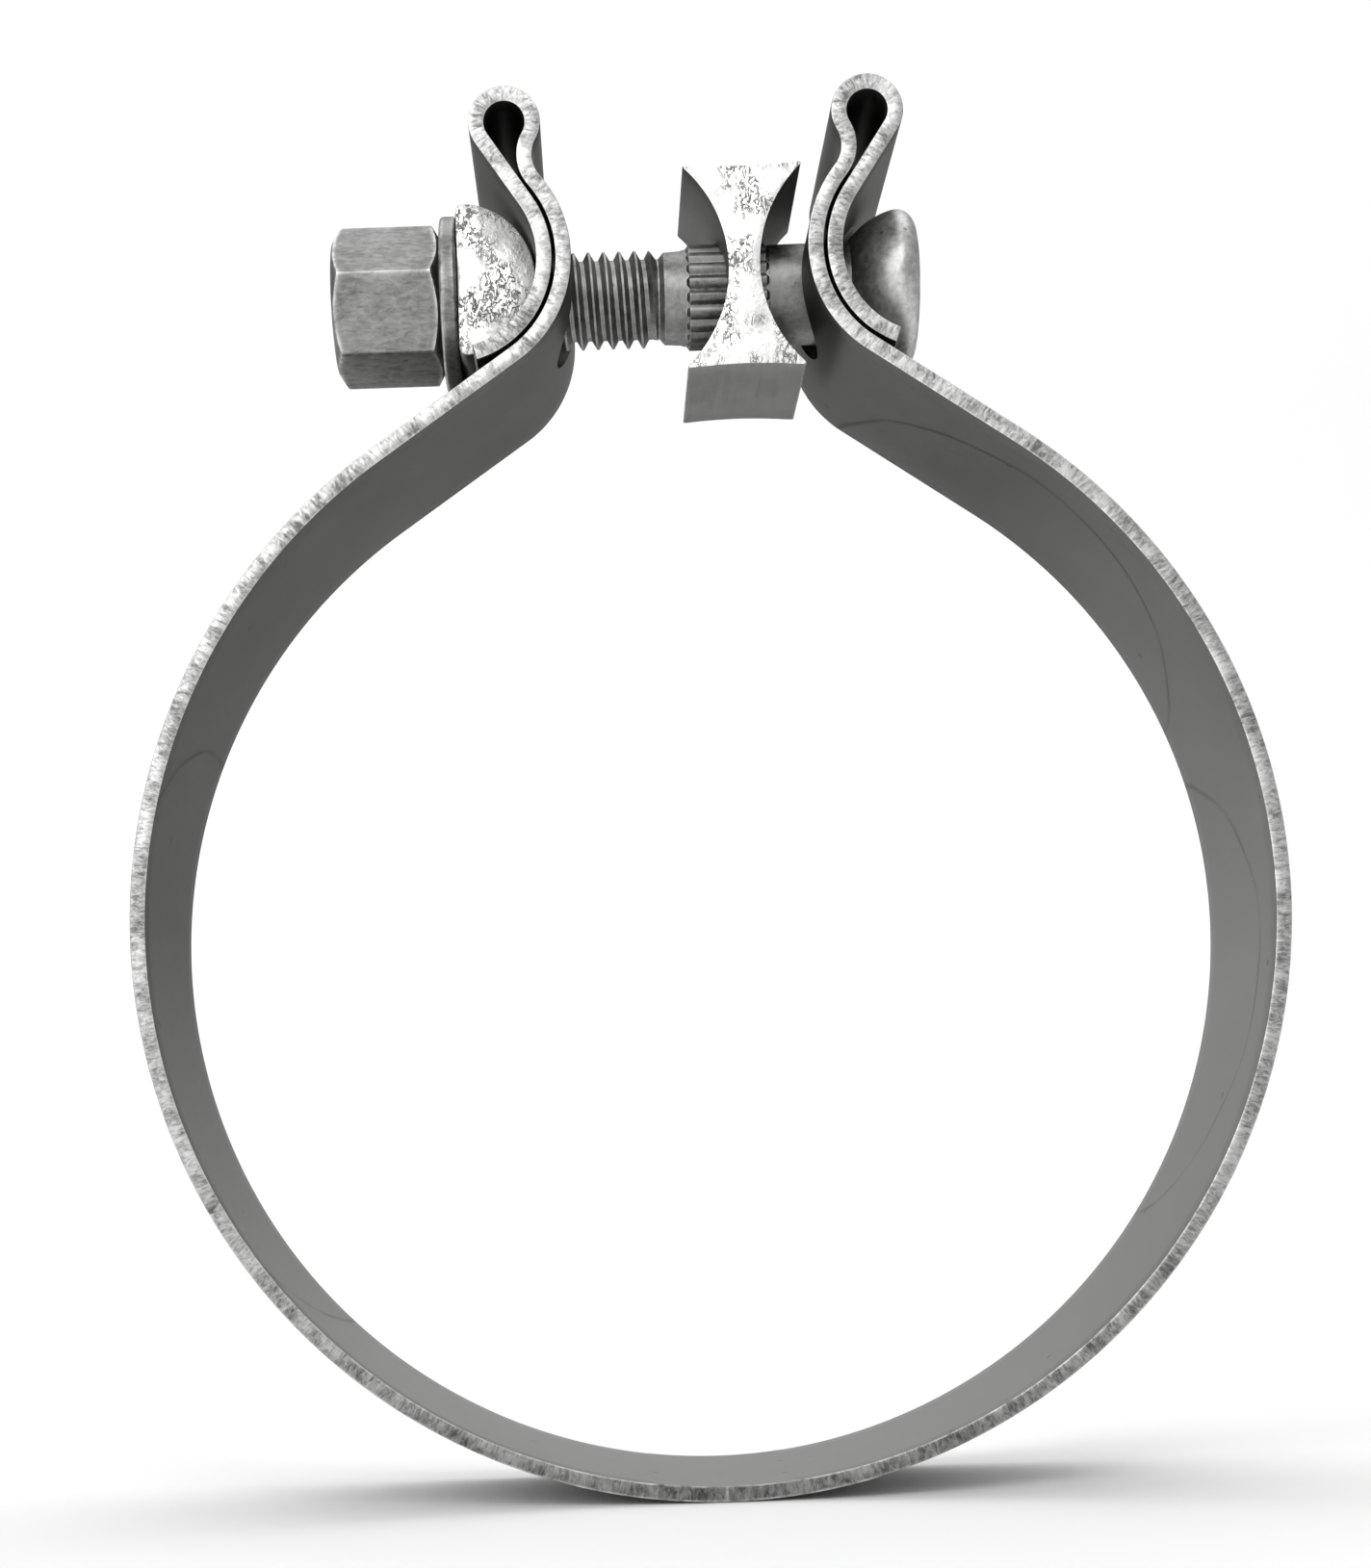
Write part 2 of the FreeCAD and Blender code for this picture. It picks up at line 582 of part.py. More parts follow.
def make_seat_block():
    """Half-round block that turns in the left seat and gives the washer a flat face."""
    body = new_body("seat_block")
    sketch = new_sketch(body, "seat_block_outline", "XZ_Plane", shift_x="@block_centre",
                        shift_y="@bolt_height")
    radius, flat = size("block_radius"), size("block_flat")
    rim = math.acos(-flat / radius)
    arc = add_arc(sketch, (0, 0), radius, -rim, rim)
    chord = add_line(sketch, polar((0, 0), radius, rim), polar((0, 0), radius, -rim))
    join(sketch, "Coincident", arc, CENTRE, *ORIGIN)
    join(sketch, "Coincident", arc, END, chord, START)
    join(sketch, "Coincident", chord, END, arc, START)
    join(sketch, "Vertical", chord)
    hold(sketch, "Radius", (arc,), "block_radius")
    hold(sketch, "DistanceX", (chord, START, *ORIGIN), "block_flat")
    pad(body, sketch, "seat_block_bar", "@block_length", centred=True)
    length = size("block_length")
    round_edges(body, "seat_block_corners", "Fillet", "@block_round",
                lambda edge: near(edge.Length, length))
    bore = new_sketch(body, "seat_block_bore_outline", "YZ_Plane", shift_y="@bolt_height")
    add_circle(bore, "bolt_hole_radius")
    shallowest = math.sqrt(radius ** 2 - size("bolt_hole_radius") ** 2)
    least_cut = math.pi * size("bolt_hole_radius") ** 2 * shallowest
    pocket_through(body, bore, "seat_block_bore", least_cut)
    return body


def make_washer():
    """Thick flat washer between the block and the nut."""
    body = new_body("washer")
    sketch = new_sketch(body, "washer_outline", "YZ_Plane", shift_y="@bolt_height",
                        shift_normal="@washer_start - @washer_thickness")
    add_circle(sketch, "washer_radius")
    add_circle(sketch, "bolt_hole_radius")
    pad(body, sketch, "washer_disc", "@washer_thickness")
    round_edges(body, "washer_rims", "Chamfer", "@washer_chamfer",
                lambda edge: near(edge.BoundBox.YLength, 2 * size("washer_radius"))
                and near(edge.BoundBox.XLength, 0))
    return body


def make_nut():
    """Tall hexagon nut, turned chamfers at both ends."""
    body = new_body("nut")
    sketch = new_sketch(body, "nut_outline", "YZ_Plane", shift_y="@bolt_height",
                        shift_normal="@nut_end")
    radius = size("nut_corner_radius")
    first_corner = 90 + size("nut_clocking")
    corners = [polar((0, 0), radius, math.radians(first_corner + 60 * k)) for k in range(6)]
    sides = [add_line(sketch, corners[k], corners[(k + 1) % 6]) for k in range(6)]
    ring = sketch.addGeometry(
        Part.Circle(FreeCAD.Vector(0, 0, 0), FreeCAD.Vector(0, 0, 1), radius), True)
    join(sketch, "Coincident", ring, CENTRE, *ORIGIN)
    hold(sketch, "Radius", (ring,), "nut_corner_radius")
    for k in range(6):
        join(sketch, "Coincident", sides[k], END, sides[(k + 1) % 6], START)
        join(sketch, "PointOnObject", sides[k], START, ring)
        if k:
            join(sketch, "Equal", sides[0], sides[k])
    hold(sketch, "Angle", (sides[0],), "nut_side_angle")
    add_circle(sketch, "nut_bore_radius")
    pad(body, sketch, "nut_bar", "@nut_height")
    doc.recompute()
    cut_nut_corners(body, "nut_end", 1)
    cut_nut_corners(body, "nut_start", -1)
    return body


def cut_nut_corners(body, face_alias, inward):
    """Turn the corners off at one face: a triangle swept once round the bolt's axis."""
    name = face_alias + "_chamfer"
    sketch = new_sketch(body, name + "_outline", "XZ_Plane", shift_x="@" + face_alias,
                        shift_y="@bolt_height")
    inner, outer = size("nut_cut_radius"), size("nut_corner_radius")
    depth = inward * size("nut_cut_height")
    slope = add_line(sketch, (0, inner), (depth, outer))
    side = add_line(sketch, (depth, outer), (0, outer))
    face = add_line(sketch, (0, outer), (0, inner))
    for first, second in ((slope, side), (side, face), (face, slope)):
        join(sketch, "Coincident", first, END, second, START)
    hold_point(sketch, slope, START, None, "nut_cut_radius")
    hold_point(sketch, face, START, None, "nut_corner_radius")
    join(sketch, "Horizontal", side)
    sign = "" if inward > 0 else "-"
    hold(sketch, "DistanceX", (*ORIGIN, slope, END), "nut_cut_height", sign)
    before = body.Tip.Shape.Volume
    groove = body.newObject("PartDesign::Groove", name)
    groove.Profile = sketch
    groove.ReferenceAxis = (sketch, ["H_Axis"])
    groove.Angle = 360
    doc.recompute()
    if groove.Shape.Volume >= before:
        raise RuntimeError(name + " cut nothing")


# ---------------------------------------------------------------- build, check and write

def check_and_write(parts):
    """Stop on any failed feature or bad solid, then write one file for each piece."""
    doc.recompute()
    for thing in doc.Objects:
        if "Invalid" in thing.State or "Error" in thing.State:
            raise RuntimeError(f"{thing.Name} failed: {thing.State}")
    os.makedirs("parts", exist_ok=True)
    for part in parts:
        shape = part.Shape
        if shape.isNull() or not shape.isValid() or len(shape.Solids) != 1:
            raise RuntimeError(f"{part.Label} is not one valid solid")
        shape.exportStep(f"parts/{part.Label}.step")
        print(f"{part.Label}: {shape.Volume:.1f} cubic mm")


right_side = make_strip_side("band_right")
check_and_write([
    make_band_lower(),
    right_side,
    make_left_side(right_side),
    make_bolt(),
    make_spacer(),
    make_seat_block(),
    make_washer(),
    make_nut(),
])
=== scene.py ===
import bmesh
import bpy
import json
import math
from mathutils import Matrix, Vector


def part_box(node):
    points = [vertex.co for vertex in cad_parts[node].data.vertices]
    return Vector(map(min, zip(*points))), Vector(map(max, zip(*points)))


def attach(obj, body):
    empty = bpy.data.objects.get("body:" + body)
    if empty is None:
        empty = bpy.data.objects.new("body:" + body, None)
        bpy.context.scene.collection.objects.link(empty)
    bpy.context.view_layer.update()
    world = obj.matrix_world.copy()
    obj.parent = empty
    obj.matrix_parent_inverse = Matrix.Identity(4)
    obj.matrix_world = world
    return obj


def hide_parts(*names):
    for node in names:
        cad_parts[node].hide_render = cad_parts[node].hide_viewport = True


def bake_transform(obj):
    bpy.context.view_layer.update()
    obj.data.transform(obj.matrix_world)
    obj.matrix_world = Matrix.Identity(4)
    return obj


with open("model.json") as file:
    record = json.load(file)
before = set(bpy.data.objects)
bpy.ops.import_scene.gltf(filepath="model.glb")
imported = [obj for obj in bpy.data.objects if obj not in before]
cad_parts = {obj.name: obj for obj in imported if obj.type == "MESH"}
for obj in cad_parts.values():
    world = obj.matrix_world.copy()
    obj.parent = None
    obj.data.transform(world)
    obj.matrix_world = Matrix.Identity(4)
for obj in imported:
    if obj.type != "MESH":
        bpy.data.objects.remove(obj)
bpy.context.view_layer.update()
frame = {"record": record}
record = frame["record"]

# Sizes are in metres. Places come from the frame: the pipe's bore, the joints and the
# boxes of the CAD nodes. Only shapes that the boxes can't give are written here.
MM = 0.001
MOUNTS = {mount["name"]: mount for mount in record["mounts"]}
JOINTS = {joint["name"]: joint for joint in record["behaviour"]["joints"]}

BORE_RADIUS = MOUNTS["pipe_bore"]["dims"]["r_mm"] * MM
RING_LOW, RING_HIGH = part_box("band_lower")
HALF_WIDTH = RING_HIGH[1]
THICKNESS = -RING_LOW[2] - BORE_RADIUS
SEAT = Vector(JOINTS["head_swivel"]["pos_m"])
AXIS_HEIGHT = SEAT.z

SEAT_RADIUS = 10.2 * MM
LAYER_GAP = 0.4 * MM
LOOP_RADIUS = 2.3 * MM
LOOP_STANDOFF = 2.4 * MM
LOOP_LEAN = math.radians(25)
NECK_RADIUS = 3.5 * MM
TAIL_ANGLES = {"left": math.radians(75), "right": math.radians(68)}
STRIP_BREAK = 0.16 * MM
# Where the strip's faces are divided lengthways, as shares of its half width.
STRIP_CUTS = (-0.8, -0.6, -0.45, -0.2, 0.0, 0.2, 0.45, 0.6, 0.8)
# The strip's borders stay unbroken below this height, where its two halves meet.
UNBROKEN_BELOW = -0.99 * BORE_RADIUS

SLOT_RADIUS = 6.35 * MM
SLOT_SHIFT = 1.1 * MM
SLOT_CUT_START = 4 * MM
SLOT_CUT_LENGTH = 18 * MM

PITCH = 25.4 / 14 * MM
THREAD_CREST = 5.5 * MM
THREAD_ROOT = 4.52 * MM
THREAD_PLAY = 0.1 * MM
BOLT_END_CHAMFER = 1.1 * MM
SHANK_RADIUS = 5.75 * MM
NECK_ROOT = 5.2 * MM
SPLINE_TIP = 5.95 * MM
SPLINE_ROOT = 5.45 * MM
SPLINE_COUNT = 20
SPLINE_TAPER = 0.45 * MM
SPLINE_SINK = 0.1 * MM
SPLINE_START = 17.8 * MM
SPLINE_LENGTH = 9.9 * MM
NECK_LENGTH = 3.1 * MM
BALL_RADIUS = 9.4 * MM
SEAT_GAP = 0.25 * MM
HEAD_ROUND = 2.2 * MM
HEAD_FLAT = 0.55 * BALL_RADIUS

SPACER_HALF_HEIGHT = 11.65 * MM
SPACER_CORNER_SETBACK = 0.6 * MM
SPACER_BREAK = 0.22 * MM
SPACER_END_EASE = 0.999
SPACER_WAIST = 3.6 * MM
SPACER_SIDE = 15.4 * MM
SPACER_BORE = 6.05 * MM
BOLT_HOLE = 6.25 * MM
BLOCK_RADIUS = 8.8 * MM
BLOCK_ROUND = 1.0 * MM
BLOCK_BREAK = 0.25 * MM
WASHER_ROLL = 0.45 * MM
WASHER_MOUTH = 0.2 * MM

NUT_FLATS = 15.875 * MM
NUT_CLOCKING = math.radians(22)
NUT_CORNER_BREAK = 0.35 * MM
NUT_CORNER_CUT = 1.7 * MM
NUT_CHAMFER_ANGLE = math.radians(30)
NUT_MOUTH = 0.3 * MM

# Spacing of the mesh's stations along the strip.
WIDE_BEND = 20 * MM
WIDE_BEND_STEP = 1.1 * MM
TIGHT_BEND_STEP = 0.45 * MM
STRAIGHT_STEP = 1.2 * MM

# Points closer than this are one point: in a finished piece, and at a spin's seam.
WELD = 1e-7
SEAM = 1e-6
SHARP_FOLD = math.radians(25)


# ---------------------------------------------------------------- mesh helpers

def piece_from(bm, name, materials, sharp=35):
    """A finished piece from a bmesh: outward normals, smooth but for its sharp edges."""
    bmesh.ops.remove_doubles(bm, verts=bm.verts, dist=WELD)
    bmesh.ops.recalc_face_normals(bm, faces=bm.faces)
    mesh = bpy.data.meshes.new(name)
    bm.to_mesh(mesh)
    bm.free()
    piece = bpy.data.objects.new(name, mesh)
    bpy.context.scene.collection.objects.link(piece)
    for material in materials:
        mesh.materials.append(material)
    finish_shading(piece, sharp)
    return piece


def finish_shading(piece, sharp):
    """Smooth shading, with edges sharper than this many degrees kept sharp."""
    for face in piece.data.polygons:
        face.use_smooth = True
    piece.data.set_sharp_from_angle(angle=math.radians(sharp))


def bake_modifiers(piece):
    """Apply everything on the piece's modifier stack."""
    bpy.context.view_layer.update()
    evaluated = piece.evaluated_get(bpy.context.evaluated_depsgraph_get())
    mesh = bpy.data.meshes.new_from_object(evaluated)
    old = piece.data
    piece.modifiers.clear()
    piece.data = mesh
    bpy.data.meshes.remove(old)


def combine(piece, tool, operation, sharp=35):
    """Cut the piece with a tool, or keep what they share. The tool is used up."""
    step = piece.modifiers.new(operation.lower(), "BOOLEAN")
    step.object = tool
    step.operation = operation
    step.solver = "EXACT"
    bake_modifiers(piece)
    bpy.data.objects.remove(tool)
    finish_shading(piece, sharp)


def chain(bm, points):
    """Edges through (x, z) points in the middle plane."""
    verts = [bm.verts.new((x, 0, z)) for x, z in points]
    edges = [bm.edges.new(pair) for pair in zip(verts, verts[1:])]
    return verts + edges


def turned(points, steps=96):
    """A bmesh turned about the bolt's axis from (x, radius) points."""
    bm = bmesh.new()
    geometry = chain(bm, [(x, AXIS_HEIGHT + radius) for x, radius in points])
    bmesh.ops.spin(bm, geom=geometry, cent=(0, 0, AXIS_HEIGHT), axis=(1, 0, 0),
                   dvec=(0, 0, 0), angle=2 * math.pi, steps=steps, use_merge=True,
                   use_duplicate=False)
    bmesh.ops.remove_doubles(bm, verts=bm.verts, dist=SEAM)
    return bm


def arc(centre, radius, start, end, steps):
    """Points along an arc, both ends included."""
    return [(centre[0] + radius * math.cos(start + (end - start) * k / steps),
             centre[1] + radius * math.sin(start + (end - start) * k / steps))
            for k in range(steps + 1)]


def folded_edges(bm, wanted=lambda edge: True):
    """Edges whose two faces meet at a sharp fold, if they pass the test too."""
    return [edge for edge in bm.edges
            if len(edge.link_faces) == 2 and edge.calc_face_angle() > SHARP_FOLD
            and wanted(edge)]


def bevel(bm, edges, offset, segments=2):
    """Break or round edges, the bevels kept from running over each other."""
    bmesh.ops.bevel(bm, geom=edges, offset=offset, segments=segments, profile=0.5,
                    affect="EDGES", material=-1, clamp_overlap=True)


def cut_across(bm, place, direction, clear_outer=False):
    """Cut every face at a plane. The far side may be cleared away."""
    bmesh.ops.bisect_plane(bm, geom=bm.verts[:] + bm.edges[:] + bm.faces[:],
                           plane_co=place, plane_no=direction, clear_outer=clear_outer)


def prism(outline, half_length, break_edges, corner_setback=0.0, cuts=6):
    """A closed (x, z) outline made into a bar along the pipe, its edges just broken.

    A setback rounds the bar's long corners first, that far back from each corner.
    Cuts across the bar keep its faces short enough to shade evenly.
    """
    bm = bmesh.new()
    verts = [bm.verts.new((x, -half_length, z)) for x, z in outline]
    face = bm.faces.new(verts)
    grown = bmesh.ops.extrude_face_region(bm, geom=[face])["geom"]
    moved = [item for item in grown if isinstance(item, bmesh.types.BMVert)]
    bmesh.ops.translate(bm, verts=moved, vec=(0, 2 * half_length, 0))
    bmesh.ops.recalc_face_normals(bm, faces=bm.faces)
    if corner_setback:
        corners = folded_edges(bm, lambda edge: length_along(edge, 1) > half_length)
        bevel(bm, corners, corner_setback, 7)
    bevel(bm, folded_edges(bm), break_edges)
    for k in range(1, cuts):
        at = -half_length + 2 * half_length * k / cuts
        cut_across(bm, (0, at, 0), (0, 1, 0))
    return bm


def length_along(edge, axis):
    """How far an edge runs along one axis."""
    return abs(edge.verts[0].co[axis] - edge.verts[1].co[axis])


def paint_ends(piece, half_length):
    """Give the faces at both ends of a bar the piece's second material."""
    end_depth = 0.4 * MM
    least_facing = 0.6
    for face in piece.data.polygons:
        at_end = (abs(face.center.y) > half_length - end_depth
                  and abs(face.normal.y) > least_facing)
        face.material_index = 1 if at_end else 0


def bore_tool(radius):
    """A plain cylinder along the bolt's axis, long enough to cut anything."""
    reach = 2 * BORE_RADIUS
    outline = [(-reach, 0), (-reach, radius), (reach, radius), (reach, 0)]
    return piece_from(turned(outline, 64), "bore_tool", [])


def finish_node(piece, node, body):
    """Hide the CAD node that a piece stands for, and attach the piece to the body it rides."""
    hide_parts(node)
    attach(piece, body)


# ---------------------------------------------------------------- materials

def socket(group, name, direction, kind="NodeSocketFloat", value=None):
    """Add a named input or output to a node group."""
    made = group.interface.new_socket(name=name, in_out=direction, socket_type=kind)
    if value is not None:
        made.default_value = value
    return made


class Nodes:
    """Short words for building a node tree."""

    def __init__(self, tree):
        self.tree = tree

    def add(self, kind, **settings):
        node = self.tree.nodes.new(kind)
        for name, value in settings.items():
            setattr(node, name, value)
        return node

    def link(self, source, target):
        self.tree.links.new(source, target)

    def feed(self, target, value):
        """Set an input to a plain number, or link it to another node's output."""
        if isinstance(value, (int, float)):
            target.default_value = value
        else:
            self.link(value, target)

    def math(self, operation, first, second=None, clamp=False):
        node = self.add("ShaderNodeMath", operation=operation, use_clamp=clamp)
        self.feed(node.inputs[0], first)
        if second is not None:
            self.feed(node.inputs[1], second)
        return node.outputs[0]

    def ramp(self, source, low, high, out_low=0.0, out_high=1.0):
        """A value that runs evenly from one range to another and stops at its ends."""
        node = self.add("ShaderNodeMapRange", clamp=True)
        for name, value in (("From Min", low), ("From Max", high),
                            ("To Min", out_low), ("To Max", out_high)):
            node.inputs[name].default_value = value
        self.link(source, node.inputs["Value"])
        return node.outputs["Result"]

    def noise(self, vector, scale, detail=3.0, roughness=0.55, distortion=0.0):
        node = self.add("ShaderNodeTexNoise")
        self.link(vector, node.inputs["Vector"])
        self.feed(node.inputs["Scale"], scale)
        for name, value in (("Detail", detail), ("Roughness", roughness),
                            ("Distortion", distortion)):
            node.inputs[name].default_value = value
        return node.outputs["Fac"]

    def stretch(self, vector, scale):
        """Coordinates scaled by a different amount along each axis."""
        node = self.add("ShaderNodeMapping")
        node.inputs["Scale"].default_value = scale
        self.link(vector, node.inputs["Vector"])
        return node.outputs["Vector"]

    def mix(self, factor, first, second):
        """A blend of two colours, each a plain grey or another node's output."""
        node = self.add("ShaderNodeMix", data_type="RGBA")
        self.link(factor, node.inputs["Factor"])
        for value, target in ((first, node.inputs["A"]), (second, node.inputs["B"])):
            if isinstance(value, tuple):
                target.default_value = (*value, 1)
            else:
                self.link(value, target)
        return node.outputs["Result"]


def new_group(name):
    """An empty shader group: returns (group, nodes, its input node, its output node)."""
    group = bpy.data.node_groups.new(name, "ShaderNodeTree")
    nodes = Nodes(group)
    return group, nodes, nodes.add("NodeGroupInput"), nodes.add("NodeGroupOutput")


def make_edge_rub_and_highlight():
    """Mask of the edges: rubbed bright by handling, and a painted highlight along them."""
    group, n, given, out = new_group("edge rub and highlight")
    socket(group, "Vector", "INPUT", "NodeSocketVector")
    socket(group, "Width", "INPUT", value=0.0004)
    socket(group, "Breakup Scale", "INPUT", value=900.0)
    socket(group, "Amount", "INPUT", value=1.0)
    socket(group, "Mask", "OUTPUT")
    rounded = n.add("ShaderNodeBevel", samples=4)
    n.link(given.outputs["Width"], rounded.inputs["Radius"])
    true_normal = n.add("ShaderNodeNewGeometry")
    dot = n.add("ShaderNodeVectorMath", operation="DOT_PRODUCT")
    n.link(rounded.outputs["Normal"], dot.inputs[0])
    n.link(true_normal.outputs["Normal"], dot.inputs[1])
    edge = n.ramp(dot.outputs["Value"], 0.995, 0.93)
    breakup = n.noise(given.outputs["Vector"], given.outputs["Breakup Scale"], 4.0, 0.7)
    broken = n.math("MULTIPLY", edge, n.ramp(breakup, 0.35, 0.6))
    n.link(n.math("MULTIPLY", broken, given.outputs["Amount"], clamp=True),
           out.inputs["Mask"])
    return group


def make_mottle():
    """Cloudy variation in two sizes, for metal that has been handled and plated."""
    group, n, given, out = new_group("mottle")
    socket(group, "Vector", "INPUT", "NodeSocketVector")
    socket(group, "Broad Scale", "INPUT", value=60.0)
    socket(group, "Fine Scale", "INPUT", value=600.0)
    socket(group, "Fine Share", "INPUT", value=0.4)
    socket(group, "Value", "OUTPUT")
    broad = n.noise(given.outputs["Vector"], given.outputs["Broad Scale"], 3.0)
    fine = n.noise(given.outputs["Vector"], given.outputs["Fine Scale"], 4.0, 0.65)
    blend = n.add("ShaderNodeMix", data_type="FLOAT")
    n.link(given.outputs["Fine Share"], blend.inputs["Factor"])
    n.link(broad, blend.inputs["A"])
    n.link(fine, blend.inputs["B"])
    n.link(blend.outputs["Result"], out.inputs["Value"])
    return group


def make_specks():
    """Mask of small scattered pits and dirt specks."""
    group, n, given, out = new_group("specks")
    socket(group, "Vector", "INPUT", "NodeSocketVector")
    socket(group, "Scale", "INPUT", value=250.0)
    socket(group, "Size", "INPUT", value=0.12)
    socket(group, "Rarity", "INPUT", value=0.72)
    socket(group, "Mask", "OUTPUT")
    cells = n.add("ShaderNodeTexVoronoi")
    n.link(given.outputs["Vector"], cells.inputs["Vector"])
    n.link(given.outputs["Scale"], cells.inputs["Scale"])
    spot = n.math("LESS_THAN", cells.outputs["Distance"], given.outputs["Size"])
    pick = n.add("ShaderNodeSeparateColor")
    n.link(cells.outputs["Color"], pick.inputs["Color"])
    chosen = n.math("GREATER_THAN", pick.outputs["Red"], given.outputs["Rarity"])
    n.link(n.math("MULTIPLY", spot, chosen), out.inputs["Mask"])
    return group


def make_scuff_ring():
    """Mask of one thin ring, rubbed by something that slid round on the flat strip."""
    group, n, given, out = new_group("scuff ring")
    socket(group, "Vector", "INPUT", "NodeSocketVector")
    socket(group, "Along", "INPUT", value=0.09)
    socket(group, "Across", "INPUT", value=0.01)
    socket(group, "Radius", "INPUT", value=0.03)
    socket(group, "Width", "INPUT", value=0.0005)
    socket(group, "Mask", "OUTPUT")
    centre = n.add("ShaderNodeCombineXYZ")
    n.link(given.outputs["Along"], centre.inputs["X"])
    n.link(given.outputs["Across"], centre.inputs["Y"])
    apart = n.add("ShaderNodeVectorMath", operation="DISTANCE")
    n.link(given.outputs["Vector"], apart.inputs[0])
    n.link(centre.outputs["Vector"], apart.inputs[1])
    sway = n.math("MULTIPLY", n.noise(given.outputs["Vector"], 45.0, 1.0), 0.004)
    away = n.math("ABSOLUTE", n.math("SUBTRACT", n.math("ADD", apart.outputs["Value"], sway),
                                     given.outputs["Radius"]))
    line = n.math("SUBTRACT", 1.0, n.math("DIVIDE", away, given.outputs["Width"], clamp=True))
    broken = n.ramp(n.noise(given.outputs["Vector"], 90.0, 2.0), 0.36, 0.55, 0.35, 1.0)
    n.link(n.math("MULTIPLY", line, broken), out.inputs["Mask"])
    return group


EDGE_RUB_AND_HIGHLIGHT = make_edge_rub_and_highlight()
MOTTLE = make_mottle()
SPECKS = make_specks()
SCUFF_RING = make_scuff_ring()


def use(n, group, vector, **values):
    """Place a shared group in a material. Underscores in the names stand for spaces."""
    node = n.add("ShaderNodeGroup")
    node.node_tree = group
    n.link(vector, node.inputs["Vector"])
    for name, value in values.items():
        node.inputs[name.replace("_", " ")].default_value = value
    return node.outputs[0]


# Dull plating and mill scale don't brighten at a glancing angle as clean metal does.
GLANCING_TINT = (0.35, 0.35, 0.35, 1)


def new_metal(name):
    """A metal material: returns (material, nodes, shader, object coordinates)."""
    material = bpy.data.materials.new(name)
    material.use_nodes = True
    n = Nodes(material.node_tree)
    shader = material.node_tree.nodes["Principled BSDF"]
    shader.inputs["Metallic"].default_value = 1.0
    shader.inputs["Specular Tint"].default_value = GLANCING_TINT
    place = n.add("ShaderNodeTexCoord").outputs["Object"]
    return material, n, shader, place


def grey(level):
    """A very slightly warm grey."""
    return (level, level, level * 0.985)


def bump(n, shader, height, distance, strength):
    """Feed the shader's normal from a height pattern."""
    node = n.add("ShaderNodeBump")
    node.inputs["Distance"].default_value = distance
    node.inputs["Strength"].default_value = strength
    n.link(height, node.inputs["Height"])
    n.link(node.outputs["Normal"], shader.inputs["Normal"])


def make_strip_face():
    """Rolled face of the strip: satin, cloudy, with ring scuffs and a few specks.

    It is painted lighter from the bottom of the ring up the right side, as light from above
    would fall, and painted shaded towards both loops.
    """
    material, n, shader, _ = new_metal("rolled_strip_face")
    along = n.add("ShaderNodeUVMap", uv_map="strip").outputs["UV"]
    cloud = use(n, MOTTLE, along, Broad_Scale=38.0, Fine_Scale=900.0, Fine_Share=0.3)
    grain = n.noise(n.stretch(along, (60.0, 2600.0, 1.0)), 1.0, 2.0)
    scuff = None
    for run, across, radius in ((-0.0895, 0.0109, 0.0408), (0.0929, 0.0201, 0.0311),
                                (0.1577, 0.0201, 0.0311)):
        ring = use(n, SCUFF_RING, along, Along=run, Across=across, Radius=radius)
        scuff = n.math("MAXIMUM", scuff, ring) if scuff else ring
    speck = use(n, SPECKS, along, Scale=260.0, Size=0.11, Rarity=0.86)
    dark = n.math("MAXIMUM", n.math("MULTIPLY", scuff, 0.6), n.math("MULTIPLY", speck, 0.5))
    run = n.add("ShaderNodeSeparateXYZ")
    n.link(along, run.inputs["Vector"])
    # Painted light: lighter from the bottom of the ring up the right side, painted shade
    # towards both loops.
    painted_light_low = n.math("MINIMUM", n.ramp(run.outputs["X"], -0.105, -0.045),
                     n.ramp(run.outputs["X"], 0.165, 0.095))
    shade = n.ramp(cloud, 0.32, 0.68)
    painted_shade_tone = n.mix(shade, grey(0.10), grey(0.155))
    painted_lit_tone = n.mix(shade, grey(0.17), grey(0.25))
    base = n.mix(painted_light_low, painted_shade_tone, painted_lit_tone)
    # The painted light also brightens the glancing reflection.
    n.link(n.mix(painted_light_low, grey(0.46), grey(0.76)), shader.inputs["Specular Tint"])
    n.link(n.mix(dark, base, grey(0.03)), shader.inputs["Base Color"])
    n.link(n.ramp(cloud, 0.3, 0.7, 0.36, 0.5), shader.inputs["Roughness"])
    bump(n, shader, n.math("ADD", n.math("MULTIPLY", grain, 0.3), cloud), 0.00003, 0.5)
    return material


